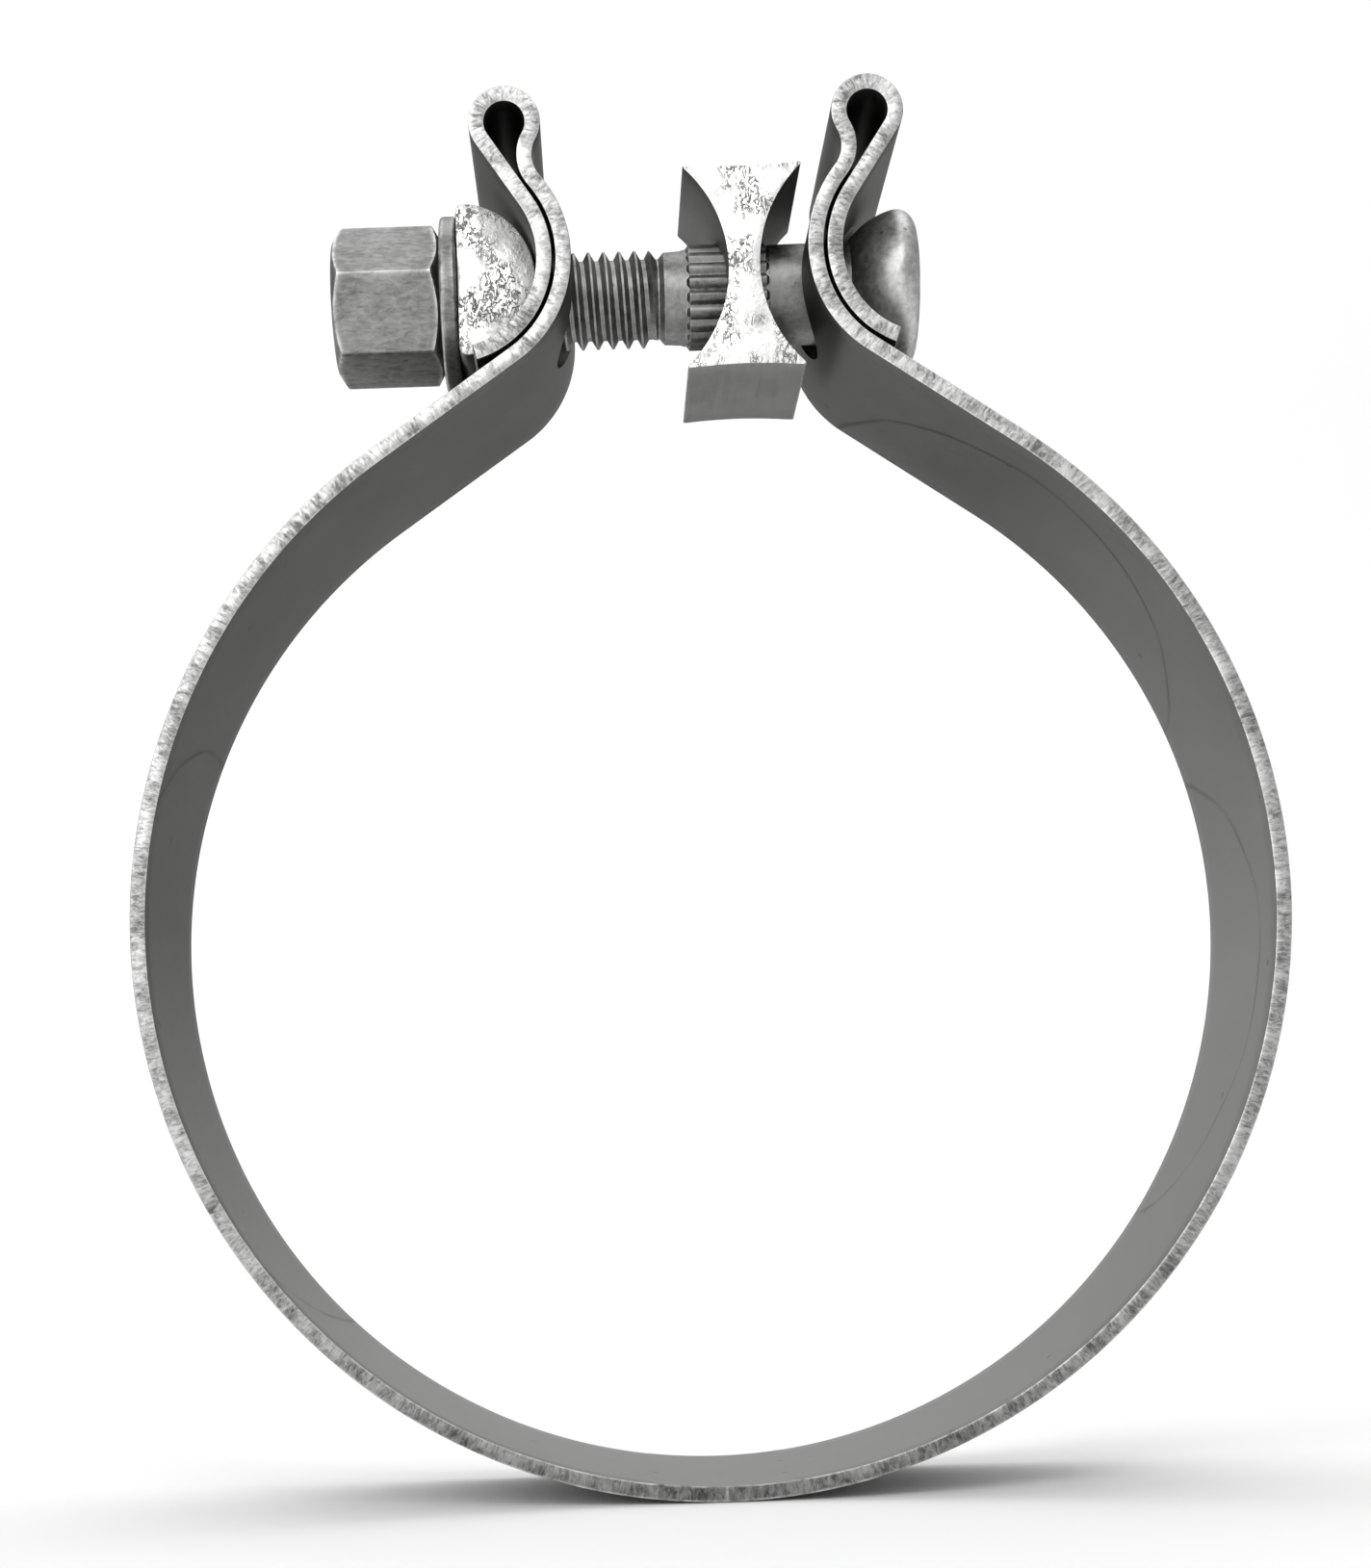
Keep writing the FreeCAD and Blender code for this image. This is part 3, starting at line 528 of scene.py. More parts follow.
def make_strip_edge():
    """Sheared edge of the strip: mottled bright, darker low on the ring, rubbed borders with a
    painted highlight.
    """
    material, n, shader, place = new_metal("sheared_strip_edge")
    along = n.add("ShaderNodeUVMap", uv_map="strip").outputs["UV"]
    marks = n.noise(n.stretch(along, (1900.0, 700.0, 1.0)), 1.0, 4.0, 0.75, 0.8)
    patches = use(n, MOTTLE, along, Broad_Scale=150.0, Fine_Scale=420.0, Fine_Share=0.5)
    tone = n.math("ADD", n.math("MULTIPLY", marks, 0.5), n.math("MULTIPLY", patches, 0.5))
    run = n.add("ShaderNodeSeparateXYZ")
    n.link(along, run.inputs["Vector"])
    # Darker towards the bottom of the ring.
    low_down = n.ramp(n.math("ABSOLUTE", run.outputs["X"]), 0.01, 0.10, 0.42, 1.0)
    base = n.mix(n.ramp(tone, 0.41, 0.58), grey(0.16), grey(0.66))
    darkened_low = n.add("ShaderNodeVectorMath", operation="SCALE")
    n.link(base, darkened_low.inputs[0])
    n.link(low_down, darkened_low.inputs["Scale"])
    # Rubbed borders, with a painted highlight along them.
    rub_and_highlight = use(n, EDGE_RUB_AND_HIGHLIGHT, place, Width=0.0004, Breakup_Scale=420.0, Amount=0.9)
    n.link(n.mix(rub_and_highlight, darkened_low.outputs["Vector"], grey(0.85)), shader.inputs["Base Color"])
    n.link(n.ramp(tone, 0.35, 0.6, 0.6, 0.36), shader.inputs["Roughness"])
    bump(n, shader, tone, 0.00012, 0.7)
    return material


def make_cropped_end():
    """Cropped end of a block: bright, with fine dark tears where the metal broke away."""
    material, n, shader, place = new_metal("cropped_block_end")
    worms = n.noise(n.stretch(place, (1.0, 1.0, 0.6)), 1250.0, 3.0, 0.65, 0.7)
    tear = n.ramp(n.math("ABSOLUTE", n.math("SUBTRACT", worms, 0.47)), 0.05, 0.0)
    torn_patch = n.ramp(n.noise(place, 190.0, 2.0), 0.46, 0.58)
    tears = n.math("MULTIPLY", tear, torn_patch)
    cloud = n.noise(place, 300.0, 4.0, 0.7)
    # Rubbed edges, with a painted highlight along them.
    rub_and_highlight = use(n, EDGE_RUB_AND_HIGHLIGHT, place, Width=0.0005, Breakup_Scale=800.0, Amount=0.6)
    tone = n.mix(n.ramp(cloud, 0.34, 0.54), grey(0.66), grey(0.98))
    torn = n.mix(n.math("MULTIPLY", tears, 0.8), tone, grey(0.12))
    n.link(n.mix(rub_and_highlight, torn, grey(0.98)), shader.inputs["Base Color"])
    n.link(n.ramp(cloud, 0.35, 0.6, 0.62, 0.38), shader.inputs["Roughness"])
    height = n.math("SUBTRACT", cloud, n.math("MULTIPLY", tears, 0.8))
    bump(n, shader, height, 0.00025, 0.8)
    return material


def make_block_side():
    """Drawn side of the blocks: even grey with fine lines along the pipe."""
    material, n, shader, place = new_metal("drawn_block_side")
    lines = n.noise(n.stretch(place, (1800.0, 60.0, 1800.0)), 1.0, 2.0)
    cloud = use(n, MOTTLE, place, Broad_Scale=120.0, Fine_Scale=1500.0, Fine_Share=0.35)
    tone = n.math("ADD", n.math("MULTIPLY", lines, 0.3), n.math("MULTIPLY", cloud, 0.7))
    # Rubbed edges, with a painted highlight along them.
    rub_and_highlight = use(n, EDGE_RUB_AND_HIGHLIGHT, place, Width=0.0004, Breakup_Scale=1100.0, Amount=0.8)
    base = n.mix(n.ramp(tone, 0.35, 0.65), grey(0.20), grey(0.30))
    n.link(n.mix(rub_and_highlight, base, grey(0.7)), shader.inputs["Base Color"])
    n.link(n.ramp(tone, 0.3, 0.7, 0.38, 0.55), shader.inputs["Roughness"])
    bump(n, shader, tone, 0.00003, 0.6)
    return material


def make_bolt_zinc():
    """Dull zinc on the bolt: cloudy grey with painted light on the head, and crests rubbed
    bright with a painted highlight.
    """
    material, n, shader, place = new_metal("dull_zinc_bolt")
    cloud = use(n, MOTTLE, place, Broad_Scale=150.0, Fine_Scale=1400.0, Fine_Share=0.45)
    # Rubbed crests and edges, with a painted highlight along them.
    rub_and_highlight = use(n, EDGE_RUB_AND_HIGHLIGHT, place, Width=0.00022, Breakup_Scale=1500.0, Amount=0.75)
    speck = use(n, SPECKS, place, Scale=700.0, Size=0.16, Rarity=0.8)
    shade = n.ramp(cloud, 0.38, 0.60)
    along_bolt = n.add("ShaderNodeSeparateXYZ")
    n.link(place, along_bolt.inputs["Vector"])
    # Painted light: the head's base is lighter, standing in for light falling on it.
    painted_light_on_head = n.ramp(along_bolt.outputs["X"], 0.0185, 0.0195)
    base = n.mix(painted_light_on_head, n.mix(shade, grey(0.15), grey(0.34)),
                 n.mix(shade, grey(0.36), grey(0.72)))
    spotted = n.mix(n.math("MULTIPLY", speck, 0.5), base, grey(0.05))
    n.link(n.mix(rub_and_highlight, spotted, grey(0.6)), shader.inputs["Base Color"])
    n.link(n.ramp(cloud, 0.3, 0.7, 0.36, 0.55), shader.inputs["Roughness"])
    bump(n, shader, cloud, 0.00006, 0.7)
    return material


def make_nut_zinc():
    """Satin zinc on the nut and washer: fine streaks along the bolt, and rubbed corners with a
    painted highlight along them.
    """
    material, n, shader, place = new_metal("satin_zinc_nut")
    streaks = n.noise(n.stretch(place, (600.0, 1700.0, 1700.0)), 1.0, 3.0, 0.7, 0.8)
    cloud = use(n, MOTTLE, place, Broad_Scale=130.0, Fine_Scale=1300.0, Fine_Share=0.4)
    tone = n.math("ADD", n.math("MULTIPLY", streaks, 0.45), n.math("MULTIPLY", cloud, 0.55))
    # Rubbed corners, with a painted highlight along them.
    rub_and_highlight = use(n, EDGE_RUB_AND_HIGHLIGHT, place, Width=0.0009, Breakup_Scale=500.0, Amount=1.0)
    base = n.mix(n.ramp(tone, 0.40, 0.60), grey(0.16), grey(0.36))
    speck = use(n, SPECKS, place, Scale=420.0, Size=0.17, Rarity=0.82)
    spotted = n.mix(n.math("MULTIPLY", speck, 0.6), base, grey(0.06))
    n.link(n.mix(rub_and_highlight, spotted, grey(0.9)), shader.inputs["Base Color"])
    n.link(n.ramp(tone, 0.3, 0.7, 0.36, 0.52), shader.inputs["Roughness"])
    bump(n, shader, tone, 0.00005, 0.6)
    return material


STRIP_FACE = make_strip_face()
STRIP_EDGE = make_strip_edge()
CROPPED_END = make_cropped_end()
BLOCK_SIDE = make_block_side()
BOLT_ZINC = make_bolt_zinc()
NUT_ZINC = make_nut_zinc()


# ---------------------------------------------------------------- the strip

def angle_to(origin, target):
    return math.atan2(target[1] - origin[1], target[0] - origin[0])


def strip_bends(tail_angle):
    """The right side's bends from the bottom of the ring to the end of the tail.

    Each is (centre, radius of the outside face, radius of the hidden face, start
    angle, end angle). The outside face touches the pipe and then faces the gap.
    """
    seat = (SEAT.x, SEAT.z)
    tail_back = SEAT_RADIUS + THICKNESS
    convex = tail_back + LAYER_GAP + THICKNESS
    loop_outside = LOOP_RADIUS + THICKNESS
    apart = SEAT_RADIUS + loop_outside + LOOP_STANDOFF
    loop = (seat[0] - apart * math.sin(LOOP_LEAN), seat[1] + apart * math.cos(LOOP_LEAN))
    to_seat = convex + NECK_RADIUS
    to_loop = loop_outside + NECK_RADIUS
    turn = math.acos((to_seat ** 2 + apart ** 2 - to_loop ** 2) / (2 * to_seat * apart))
    neck = arc(seat, to_seat, angle_to(seat, loop) + turn, 0, 1)[0]
    leave = angle_to((0, 0), seat) - math.acos((BORE_RADIUS + convex) / math.hypot(*seat))
    land = angle_to(seat, loop) + math.acos((loop_outside + SEAT_RADIUS) / apart)
    return [
        ((0, 0), BORE_RADIUS, BORE_RADIUS + THICKNESS, -math.pi / 2, leave),
        (seat, convex, convex - THICKNESS, leave + math.pi, angle_to(seat, neck)),
        (neck, NECK_RADIUS, NECK_RADIUS + THICKNESS,
         angle_to(seat, neck) - math.pi, angle_to(neck, loop)),
        (loop, loop_outside, LOOP_RADIUS, angle_to(loop, neck) + 2 * math.pi, land - math.pi),
        (seat, SEAT_RADIUS, tail_back, land, math.pi + tail_angle),
    ]


def strip_stations(tail_angle, side):
    """Pairs of (outside, hidden) points along the strip, close enough to look round."""
    stations = []
    for centre, outside, hidden, start, end in strip_bends(tail_angle):
        step_length = WIDE_BEND_STEP if outside > WIDE_BEND else TIGHT_BEND_STEP
        steps = max(6, round(abs(end - start) * max(outside, hidden) / step_length))
        pairs = zip(arc(centre, outside, start, end, steps),
                    arc(centre, hidden, start, end, steps))
        if stations:
            stations += straight_run(stations[-1], centre, outside, hidden, start)
        stations += list(pairs)
    kept = [stations[0]]
    for station in stations[1:]:
        if math.dist(station[0], kept[-1][0]) > SEAM:
            kept.append(station)
    return [tuple((side * x, z) for x, z in station) for station in kept]


def straight_run(last, centre, outside, hidden, start):
    """Stations between the last one and the next bend, if the strip runs straight there."""
    following = [arc(centre, radius, start, start, 1)[0] for radius in (outside, hidden)]
    length = math.dist(last[0], following[0])
    steps = int(length / STRAIGHT_STEP)
    made = []
    for k in range(1, steps):
        share = k / steps
        made.append(tuple(
            (first[0] + (second[0] - first[0]) * share,
             first[1] + (second[1] - first[1]) * share)
            for first, second in zip(last, following)))
    return made


def strip_mesh(stations):
    """The strip swept along its stations, carrying its unrolled place as a UV map.

    The map's first axis is the run from the bottom of the ring, negative on the left.
    """
    side = math.copysign(1.0, stations[-1][0][0])
    bm = bmesh.new()
    run = bm.verts.layers.float.new("run")
    depth = bm.verts.layers.float.new("depth")
    pair = [bm.verts.new((x, -HALF_WIDTH, z)) for x, z in stations[0]]
    pair[1][depth] = THICKNESS
    edge = bm.edges.new(pair)
    travelled = 0.0
    for before, station in zip(stations, stations[1:]):
        travelled += math.dist(before[0], station[0]) / 2 + math.dist(before[1], station[1]) / 2
        grown = bmesh.ops.extrude_edge_only(bm, edges=[edge])["geom"]
        edge = [item for item in grown if isinstance(item, bmesh.types.BMEdge)][0]
        for vert in edge.verts:
            is_hidden = vert[depth] > 0
            x, z = station[1] if is_hidden else station[0]
            vert.co = (x, -HALF_WIDTH, z)
            vert[run] = travelled
    grown = bmesh.ops.extrude_face_region(bm, geom=bm.faces[:])["geom"]
    moved = [item for item in grown if isinstance(item, bmesh.types.BMVert)]
    bmesh.ops.translate(bm, verts=moved, vec=(0, 2 * HALF_WIDTH, 0))
    bmesh.ops.recalc_face_normals(bm, faces=bm.faces)
    borders = folded_edges(bm, lambda edge: length_along(edge, 1) < SEAM
                           and edge.verts[0].co.z + edge.verts[1].co.z > 2 * UNBROKEN_BELOW)
    bevel(bm, borders, STRIP_BREAK)
    for share in STRIP_CUTS:
        cut_across(bm, (0, share * HALF_WIDTH, 0), (0, 1, 0))
    unrolled = bm.loops.layers.uv.new("strip")
    for face in bm.faces:
        on_edge = abs(face.normal.y) > 0.5 or is_tail_end(face, run, travelled)
        face.material_index = 1 if on_edge else 0
        for loop in face.loops:
            vert = loop.vert
            loop[unrolled].uv = (side * vert[run], vert.co.y + vert[depth])
    return bm


def is_tail_end(face, run, travelled):
    """Whether a face closes the strip at the end of its tail."""
    return all(vert[run] > travelled - STRIP_BREAK / 4 for vert in face.verts)


def slot_tool(side):
    """The slot's shape, through both layers of one side."""
    bm = bmesh.new()
    ring = bmesh.ops.create_circle(bm, cap_ends=True, segments=48, radius=SLOT_RADIUS)["verts"]
    for vert in ring:
        y, z = vert.co.x, vert.co.y
        upper_or_lower = (z > SEAM) - (z < -SEAM)
        height = AXIS_HEIGHT + z + upper_or_lower * SLOT_SHIFT
        vert.co = (side * SLOT_CUT_START, y, height)
    grown = bmesh.ops.extrude_face_region(bm, geom=bm.faces[:])["geom"]
    moved = [item for item in grown if isinstance(item, bmesh.types.BMVert)]
    bmesh.ops.translate(bm, verts=moved, vec=(side * SLOT_CUT_LENGTH, 0, 0))
    return piece_from(bm, "slot_tool", [])


def make_strip(name, side):
    """One half of the strip, which bends between the bottom of the ring and its side."""
    tail_angle = TAIL_ANGLES[name]
    bm = strip_mesh(strip_stations(tail_angle, side))
    piece = piece_from(bm, f"strip_{name}", [STRIP_FACE, STRIP_EDGE], sharp=40)
    combine(piece, slot_tool(side), "DIFFERENCE", sharp=40)
    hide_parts(f"band_{name}")
    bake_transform(piece)
    return piece


make_strip("left", -1)
right_strip = make_strip("right", 1)
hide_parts("band_lower")


# ---------------------------------------------------------------- the bolt

def threaded_rod(start, end, extra=0.0):
    """A bmesh rod with a right-hand helical thread between two places along X.

    One ridge of the thread is given as shares of the pitch; extra makes it all wider.
    """
    first = math.floor(start / PITCH) - 1
    last = math.ceil(end / PITCH) + 1
    root_ends, crest_starts, crest_ends = 0.25, 0.5625, 0.6875
    ridge = ((0.0, THREAD_ROOT), (root_ends, THREAD_ROOT), (crest_starts, THREAD_CREST),
             (crest_ends, THREAD_CREST))
    points = [((turn + share) * PITCH, AXIS_HEIGHT + radius + extra)
              for turn in range(first, last) for share, radius in ridge]
    bm = bmesh.new()
    steps = 64
    bmesh.ops.spin(bm, geom=chain(bm, points), cent=(0, 0, AXIS_HEIGHT), axis=(1, 0, 0),
                   dvec=(PITCH / steps, 0, 0), angle=2 * math.pi, steps=steps,
                   use_merge=False, use_duplicate=False)
    bmesh.ops.remove_doubles(bm, verts=bm.verts, dist=SEAM)
    for place, outward in ((start, -1), (end, 1)):
        cut_across(bm, (place, 0, 0), (outward, 0, 0), clear_outer=True)
    rim = [edge for edge in bm.edges if edge.is_boundary]
    bmesh.ops.holes_fill(bm, edges=rim, sides=0)
    return bm


def add_bmesh(target, source):
    """Move one bmesh's shape into another."""
    mesh = bpy.data.meshes.new("part")
    source.to_mesh(mesh)
    source.free()
    target.from_mesh(mesh)
    bpy.data.meshes.remove(mesh)


def splined_sleeve(start, end):
    """Rounded teeth round the shank, tapered at both ends."""
    bm = bmesh.new()
    points_per_tooth = 8
    flat_top = 1.7
    count = SPLINE_COUNT * points_per_tooth
    ring = bmesh.ops.create_circle(bm, cap_ends=True, segments=count, radius=1.0)["verts"]
    for vert in ring:
        angle = math.atan2(vert.co.y, vert.co.x)
        wave = 0.5 + 0.5 * math.cos(angle * SPLINE_COUNT)
        tooth = min(1.0, wave * flat_top)
        radius = SPLINE_ROOT + (SPLINE_TIP - SPLINE_ROOT) * tooth
        vert.co = (start, radius * math.cos(angle), AXIS_HEIGHT + radius * math.sin(angle))
    narrow = (SPLINE_ROOT - SPLINE_SINK) / SPLINE_TIP
    face = bm.faces[:]
    for step, share in ((SPLINE_TAPER, 1.0), (end - start - 2 * SPLINE_TAPER, 1.0),
                        (SPLINE_TAPER, narrow)):
        grown = bmesh.ops.extrude_face_region(bm, geom=face)["geom"]
        moved = [item for item in grown if isinstance(item, bmesh.types.BMVert)]
        face = [item for item in grown if isinstance(item, bmesh.types.BMFace)]
        bmesh.ops.translate(bm, verts=moved, vec=(step, 0, 0))
        squeeze_to_axis(moved, share)
    near_end = [vert for vert in bm.verts if vert.co.x < start + SPLINE_TAPER / 2]
    squeeze_to_axis(near_end, narrow)
    return bm


def squeeze_to_axis(verts, share):
    """Scale points about the bolt's axis."""
    for vert in verts:
        vert.co.y *= share
        vert.co.z = AXIS_HEIGHT + (vert.co.z - AXIS_HEIGHT) * share


def bolt_profile(spline_start, spline_end, thread_end, head_face):
    """(x, radius) points of the turned bolt, from the head's face to inside the thread."""
    slot_reach = SLOT_RADIUS + SLOT_SHIFT
    ball_centre = (SEAT.x - math.sqrt(SEAT_RADIUS ** 2 - slot_reach ** 2)
                   + math.sqrt((BALL_RADIUS + SEAT_GAP) ** 2 - slot_reach ** 2))
    meet = math.pi - math.asin(SHANK_RADIUS / BALL_RADIUS)
    round_x = head_face - HEAD_ROUND
    round_height = math.sqrt((BALL_RADIUS - HEAD_ROUND) ** 2 - (round_x - ball_centre) ** 2)
    rim = math.atan2(round_height, round_x - ball_centre)
    shank_end = SHANK_RADIUS - 0.05 * MM
    spline_stop = spline_start - 0.25 * MM
    shoulder = (spline_start - 0.5 * MM, NECK_ROOT + 0.12 * MM)
    neck_end = thread_end + 0.6 * MM
    core_end, core = thread_end - PITCH, THREAD_ROOT - 0.1 * MM
    profile = [(head_face, 0.0), (head_face, HEAD_FLAT)]
    profile += arc((round_x, round_height), HEAD_ROUND, 0.0, rim, 12)
    profile += arc((ball_centre, 0), BALL_RADIUS, rim, meet, 30)[1:]
    profile += [(spline_end, shank_end), (spline_end, SPLINE_ROOT),
                (spline_stop, SPLINE_ROOT), shoulder,
                (neck_end, NECK_ROOT), (thread_end, THREAD_ROOT),
                (core_end, core), (core_end, 0.0)]
    return profile


def chamfer_thread(rod, start, end):
    """Narrow both ends of a threaded rod to 45 degree chamfers."""
    for vert in rod.verts:
        reach = math.hypot(vert.co.y, vert.co.z - AXIS_HEIGHT)
        for from_end in (vert.co.x - start, end - vert.co.x):
            allowed = THREAD_CREST - BOLT_END_CHAMFER + max(from_end, 0.0)
            if reach > allowed:
                squeeze_to_axis([vert], allowed / reach)
                reach = allowed


def make_bolt():
    """Bolt with a ball under its head, splines and a cut thread."""
    low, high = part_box("bolt")
    spline_end = SEAT.x - SPLINE_START
    spline_start = spline_end - SPLINE_LENGTH
    thread_end = spline_start - NECK_LENGTH
    bm = turned(bolt_profile(spline_start, spline_end, thread_end, high[0]))
    add_bmesh(bm, splined_sleeve(spline_start, spline_end))
    rod = threaded_rod(low[0], thread_end)
    chamfer_thread(rod, low[0], thread_end)
    add_bmesh(bm, rod)
    piece = piece_from(bm, "splined_bolt", [BOLT_ZINC], sharp=38)
    finish_node(piece, "bolt", "bolt")


make_bolt()


# ---------------------------------------------------------------- spacer, block, washer, nut

def make_spacer():
    """Hourglass spacer, keyed on the splines."""
    low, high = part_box("spacer")
    middle = (low[0] + high[0]) / 2
    half_length = (high[1] - low[1]) / 2
    centre = SPACER_WAIST / 2 + SPACER_SIDE
    sweep = math.asin(SPACER_HALF_HEIGHT / SPACER_SIDE)
    corner = centre - SPACER_SIDE * math.cos(sweep)
    end_radius = math.hypot(corner, AXIS_HEIGHT - SPACER_HALF_HEIGHT)
    lean = math.asin(corner / end_radius)
    hollow = end_radius * SPACER_END_EASE
    right = arc((centre, 0), SPACER_SIDE, math.pi + sweep, math.pi - sweep, 40)
    top = arc((0, AXIS_HEIGHT), hollow, 1.5 * math.pi + lean, 1.5 * math.pi - lean, 12)[1:-1]
    left = arc((-centre, 0), SPACER_SIDE, sweep, -sweep, 40)
    bottom = arc((0, -AXIS_HEIGHT), hollow, 0.5 * math.pi + lean,
                 0.5 * math.pi - lean, 12)[1:-1]
    outline = [(middle + x, AXIS_HEIGHT + z) for x, z in right + top + left + bottom]
    bm = prism(outline, half_length, SPACER_BREAK, SPACER_CORNER_SETBACK)
    piece = piece_from(bm, "hourglass_spacer", [BLOCK_SIDE, CROPPED_END])
    paint_ends(piece, half_length)
    combine(piece, bore_tool(SPACER_BORE), "DIFFERENCE")
    finish_node(piece, "spacer", "spacer")


def make_seat_block():
    """Half-round block with softened corners and a drilled hole."""
    low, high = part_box("seat_block")
    half_length = (high[1] - low[1]) / 2
    centre = (high[0] - BLOCK_RADIUS, AXIS_HEIGHT)
    flat = low[0] - centre[0]
    tuck = math.sqrt((BLOCK_RADIUS - BLOCK_ROUND) ** 2 - (flat + BLOCK_ROUND) ** 2)
    lean = math.atan2(tuck, flat + BLOCK_ROUND)
    corner_x = centre[0] + flat + BLOCK_ROUND
    outline = arc(centre, BLOCK_RADIUS, -lean, lean, 48)
    outline += arc((corner_x, centre[1] + tuck), BLOCK_ROUND, lean, math.pi, 6)[1:]
    outline += arc((corner_x, centre[1] - tuck), BLOCK_ROUND,
                   math.pi, 2 * math.pi - lean, 6)[:-1]
    bm = prism(outline, half_length, BLOCK_BREAK)
    piece = piece_from(bm, "half_round_block", [BLOCK_SIDE, CROPPED_END])
    paint_ends(piece, half_length)
    combine(piece, bore_tool(BOLT_HOLE), "DIFFERENCE")
    finish_node(piece, "seat_block", "seat_block")


def make_washer():
    """Thick flat washer with rolled rims."""
    low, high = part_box("washer")
    rim = (high[1] - low[1]) / 2 - WASHER_ROLL
    mouth = BOLT_HOLE + WASHER_MOUTH
    profile = [(low[0], mouth), (low[0], rim)]
    profile += arc((low[0] + WASHER_ROLL, rim), WASHER_ROLL, math.pi, math.pi / 2, 4)[1:]
    profile += arc((high[0] - WASHER_ROLL, rim), WASHER_ROLL, math.pi / 2, 0, 4)
    profile += [(high[0], mouth), (high[0] - WASHER_MOUTH, BOLT_HOLE),
                (low[0] + WASHER_MOUTH, BOLT_HOLE), (low[0], mouth)]
    piece = piece_from(turned(profile), "flat_washer", [NUT_ZINC])
    finish_node(piece, "washer", "washer")


def make_nut():
    """Hexagon nut: turned chamfers at both ends and a thread that meets the bolt's."""
    low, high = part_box("nut")
    corner = NUT_FLATS / math.sqrt(3)
    bm = bmesh.new()
    ring = bmesh.ops.create_circle(bm, cap_ends=True, segments=6, radius=corner)["verts"]
    for k, vert in enumerate(ring):
        angle = math.radians(90 + 60 * k) + NUT_CLOCKING
        vert.co = (low[0], corner * math.cos(angle), AXIS_HEIGHT + corner * math.sin(angle))
    grown = bmesh.ops.extrude_face_region(bm, geom=bm.faces[:])["geom"]
    moved = [item for item in grown if isinstance(item, bmesh.types.BMVert)]
    bmesh.ops.translate(bm, verts=moved, vec=(high[0] - low[0], 0, 0))
    bmesh.ops.recalc_face_normals(bm, faces=bm.faces)
    corners = folded_edges(bm, lambda edge: length_along(edge, 0) > NUT_CORNER_BREAK)
    bevel(bm, corners, NUT_CORNER_BREAK, 3)
    piece = piece_from(bm, "hexagon_nut", [NUT_ZINC], sharp=28)
    cut_nut(piece, "turned_blank", nut_blank(low[0], high[0], corner), "INTERSECT")
    tap = threaded_rod(low[0] - 2 * PITCH, high[0] + 2 * PITCH, THREAD_PLAY)
    cut_nut(piece, "tap", tap, "DIFFERENCE")
    for place, outward in ((low[0], -1), (high[0], 1)):
        cut_nut(piece, "countersink", countersink(place, outward), "DIFFERENCE")
    finish_node(piece, "nut", "nut")


def cut_nut(piece, name, tool, operation):
    """Shape the nut with a tool given as a bmesh."""
    combine(piece, piece_from(tool, name, []), operation, sharp=28)


def nut_blank(start, end, corner):
    """What both turned chamfers leave of a round bar that just holds the nut's corners."""
    slope = NUT_CORNER_CUT * math.tan(NUT_CHAMFER_ANGLE)
    return turned([(start, 0), (start, corner - NUT_CORNER_CUT), (start + slope, corner),
                   (end - slope, corner), (end, corner - NUT_CORNER_CUT), (end, 0)], 128)


def countersink(place, outward):
    """A 45 degree cone that opens the thread at one face of the nut."""
    mouth = THREAD_CREST + NUT_MOUTH
    outside = place + outward * MM
    tip = place - outward * (mouth - THREAD_ROOT)
    return turned([(outside, 0), (outside, mouth + MM), (tip, THREAD_ROOT), (tip, 0)], 64)


make_spacer()
make_seat_block()
make_washer()
make_nut()


# ---------------------------------------------------------------- floor, light and camera

def make_stage():
    """Pale floor that curves up into a backdrop."""
    bm = bmesh.new()
    floor = RING_LOW[2] - 0.1 * MM
    front, back, curve, top, half_span = -1.6, 0.5, 0.4, 2.0, 2.5
    sweep = [(front, floor), (back, floor)]
    sweep += arc((back, floor + curve), curve, -math.pi / 2, 0, 12)
    sweep += [(back + curve, top)]
    verts = [bm.verts.new((-half_span, y, z)) for y, z in sweep]
    edges = [bm.edges.new(pair) for pair in zip(verts, verts[1:])]
    grown = bmesh.ops.extrude_edge_only(bm, edges=edges)["geom"]
    moved = [item for item in grown if isinstance(item, bmesh.types.BMVert)]
    bmesh.ops.translate(bm, verts=moved, vec=(2 * half_span, 0, 0))
    material = bpy.data.materials.new("pale_paper")
    material.use_nodes = True
    shader = material.node_tree.nodes["Principled BSDF"]
    shader.inputs["Base Color"].default_value = (0.93, 0.93, 0.93, 1)
    shader.inputs["Roughness"].default_value = 0.9
    backdrop = piece_from(bm, "backdrop", [material])


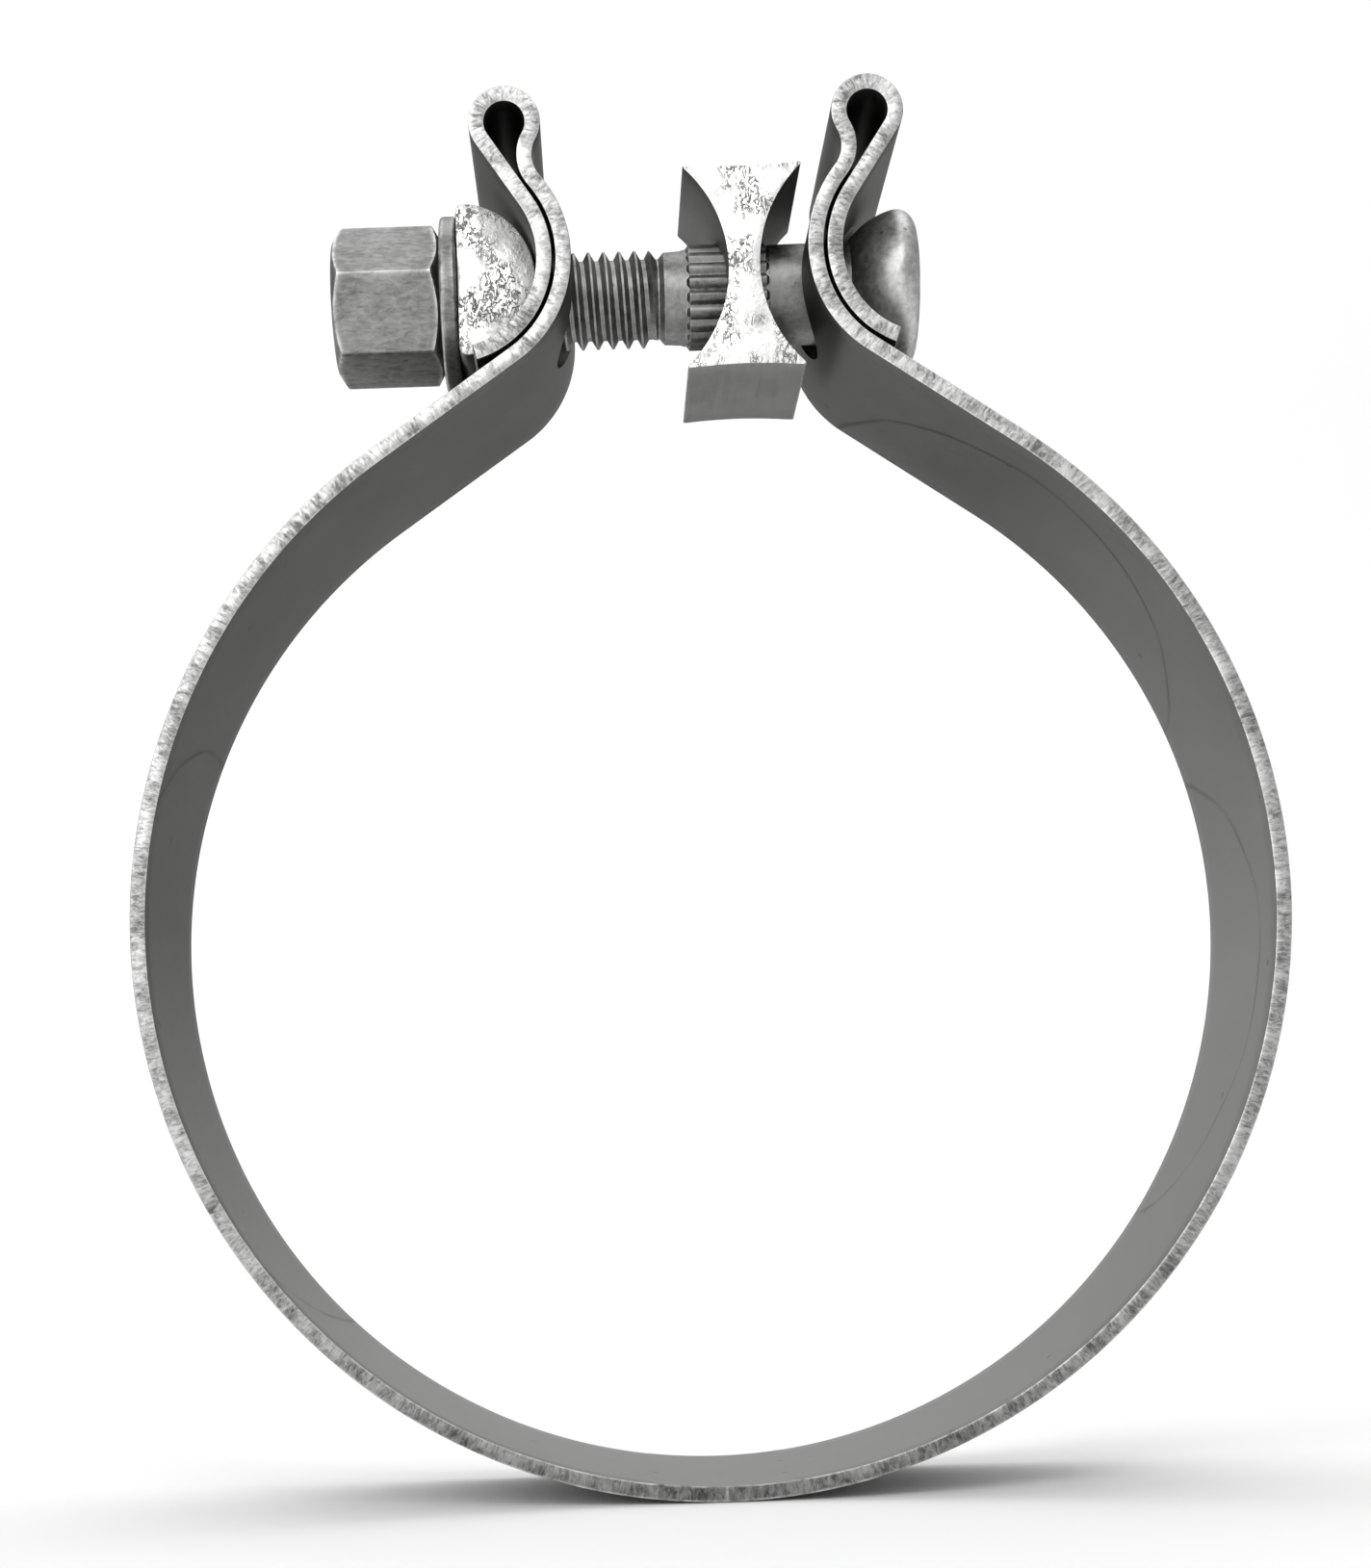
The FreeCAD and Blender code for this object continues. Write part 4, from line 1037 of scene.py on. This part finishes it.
def add_area_light(name, place, target, size, power):
    """A square soft light at one place, turned to face another."""
    light = bpy.data.lights.new(name, "AREA")
    light.shape = "SQUARE"
    light.size = size
    light.energy = power
    lamp = bpy.data.objects.new(name, light)
    lamp.location = place
    direction = Vector(target) - Vector(place)
    lamp.rotation_euler = direction.to_track_quat("-Z", "Y").to_euler()
    bpy.context.scene.collection.objects.link(lamp)


def make_light():
    """Even room light, two soft lights from the front and one for the backdrop."""
    world = bpy.data.worlds.new("soft_room")
    world.use_nodes = True
    world.node_tree.nodes["Background"].inputs["Color"].default_value = (1, 1, 1, 1)
    world.node_tree.nodes["Background"].inputs["Strength"].default_value = 0.5
    bpy.context.scene.world = world
    add_area_light("front", place=(-0.42, -0.95, 0.50), target=(0, 0, 0.02),
                   size=0.8, power=5.4)
    add_area_light("high_front", place=(0.12, -0.75, 0.72), target=(0.03, 0, 0.075),
                   size=0.35, power=1.5)
    add_area_light("backdrop_wash", place=(0, 0.50, 1.15), target=(0, 0.90, 0.0),
                   size=1.2, power=8.0)


def make_camera():
    """A near, level view along the pipe, from below the bolt, framed by shifting the lens."""
    camera = bpy.data.cameras.new("view")
    camera.sensor_width = 36.0
    camera.lens = 58.3
    camera.shift_x = 0.0552
    camera.shift_y = 0.2761
    camera.clip_start = 0.01
    station = (-0.01208, -0.3050, -0.02901)
    yaw, pitch, roll = math.radians(-0.318), math.radians(-0.816), math.radians(-1.80)
    forward = Vector((math.sin(yaw) * math.cos(pitch), math.cos(yaw) * math.cos(pitch),
                      math.sin(pitch)))
    level = Vector((math.cos(yaw), -math.sin(yaw), 0))
    upright = level.cross(forward)
    right = level * math.cos(roll) + upright * math.sin(roll)
    up = upright * math.cos(roll) - level * math.sin(roll)
    turn = Matrix((right, up, -forward)).transposed().to_4x4()
    holder = bpy.data.objects.new("view", camera)
    holder.matrix_world = Matrix.Translation(station) @ turn
    bpy.context.scene.collection.objects.link(holder)
    bpy.context.scene.camera = holder


make_stage()
make_light()
make_camera()
bpy.context.scene.view_settings.view_transform = "Standard"
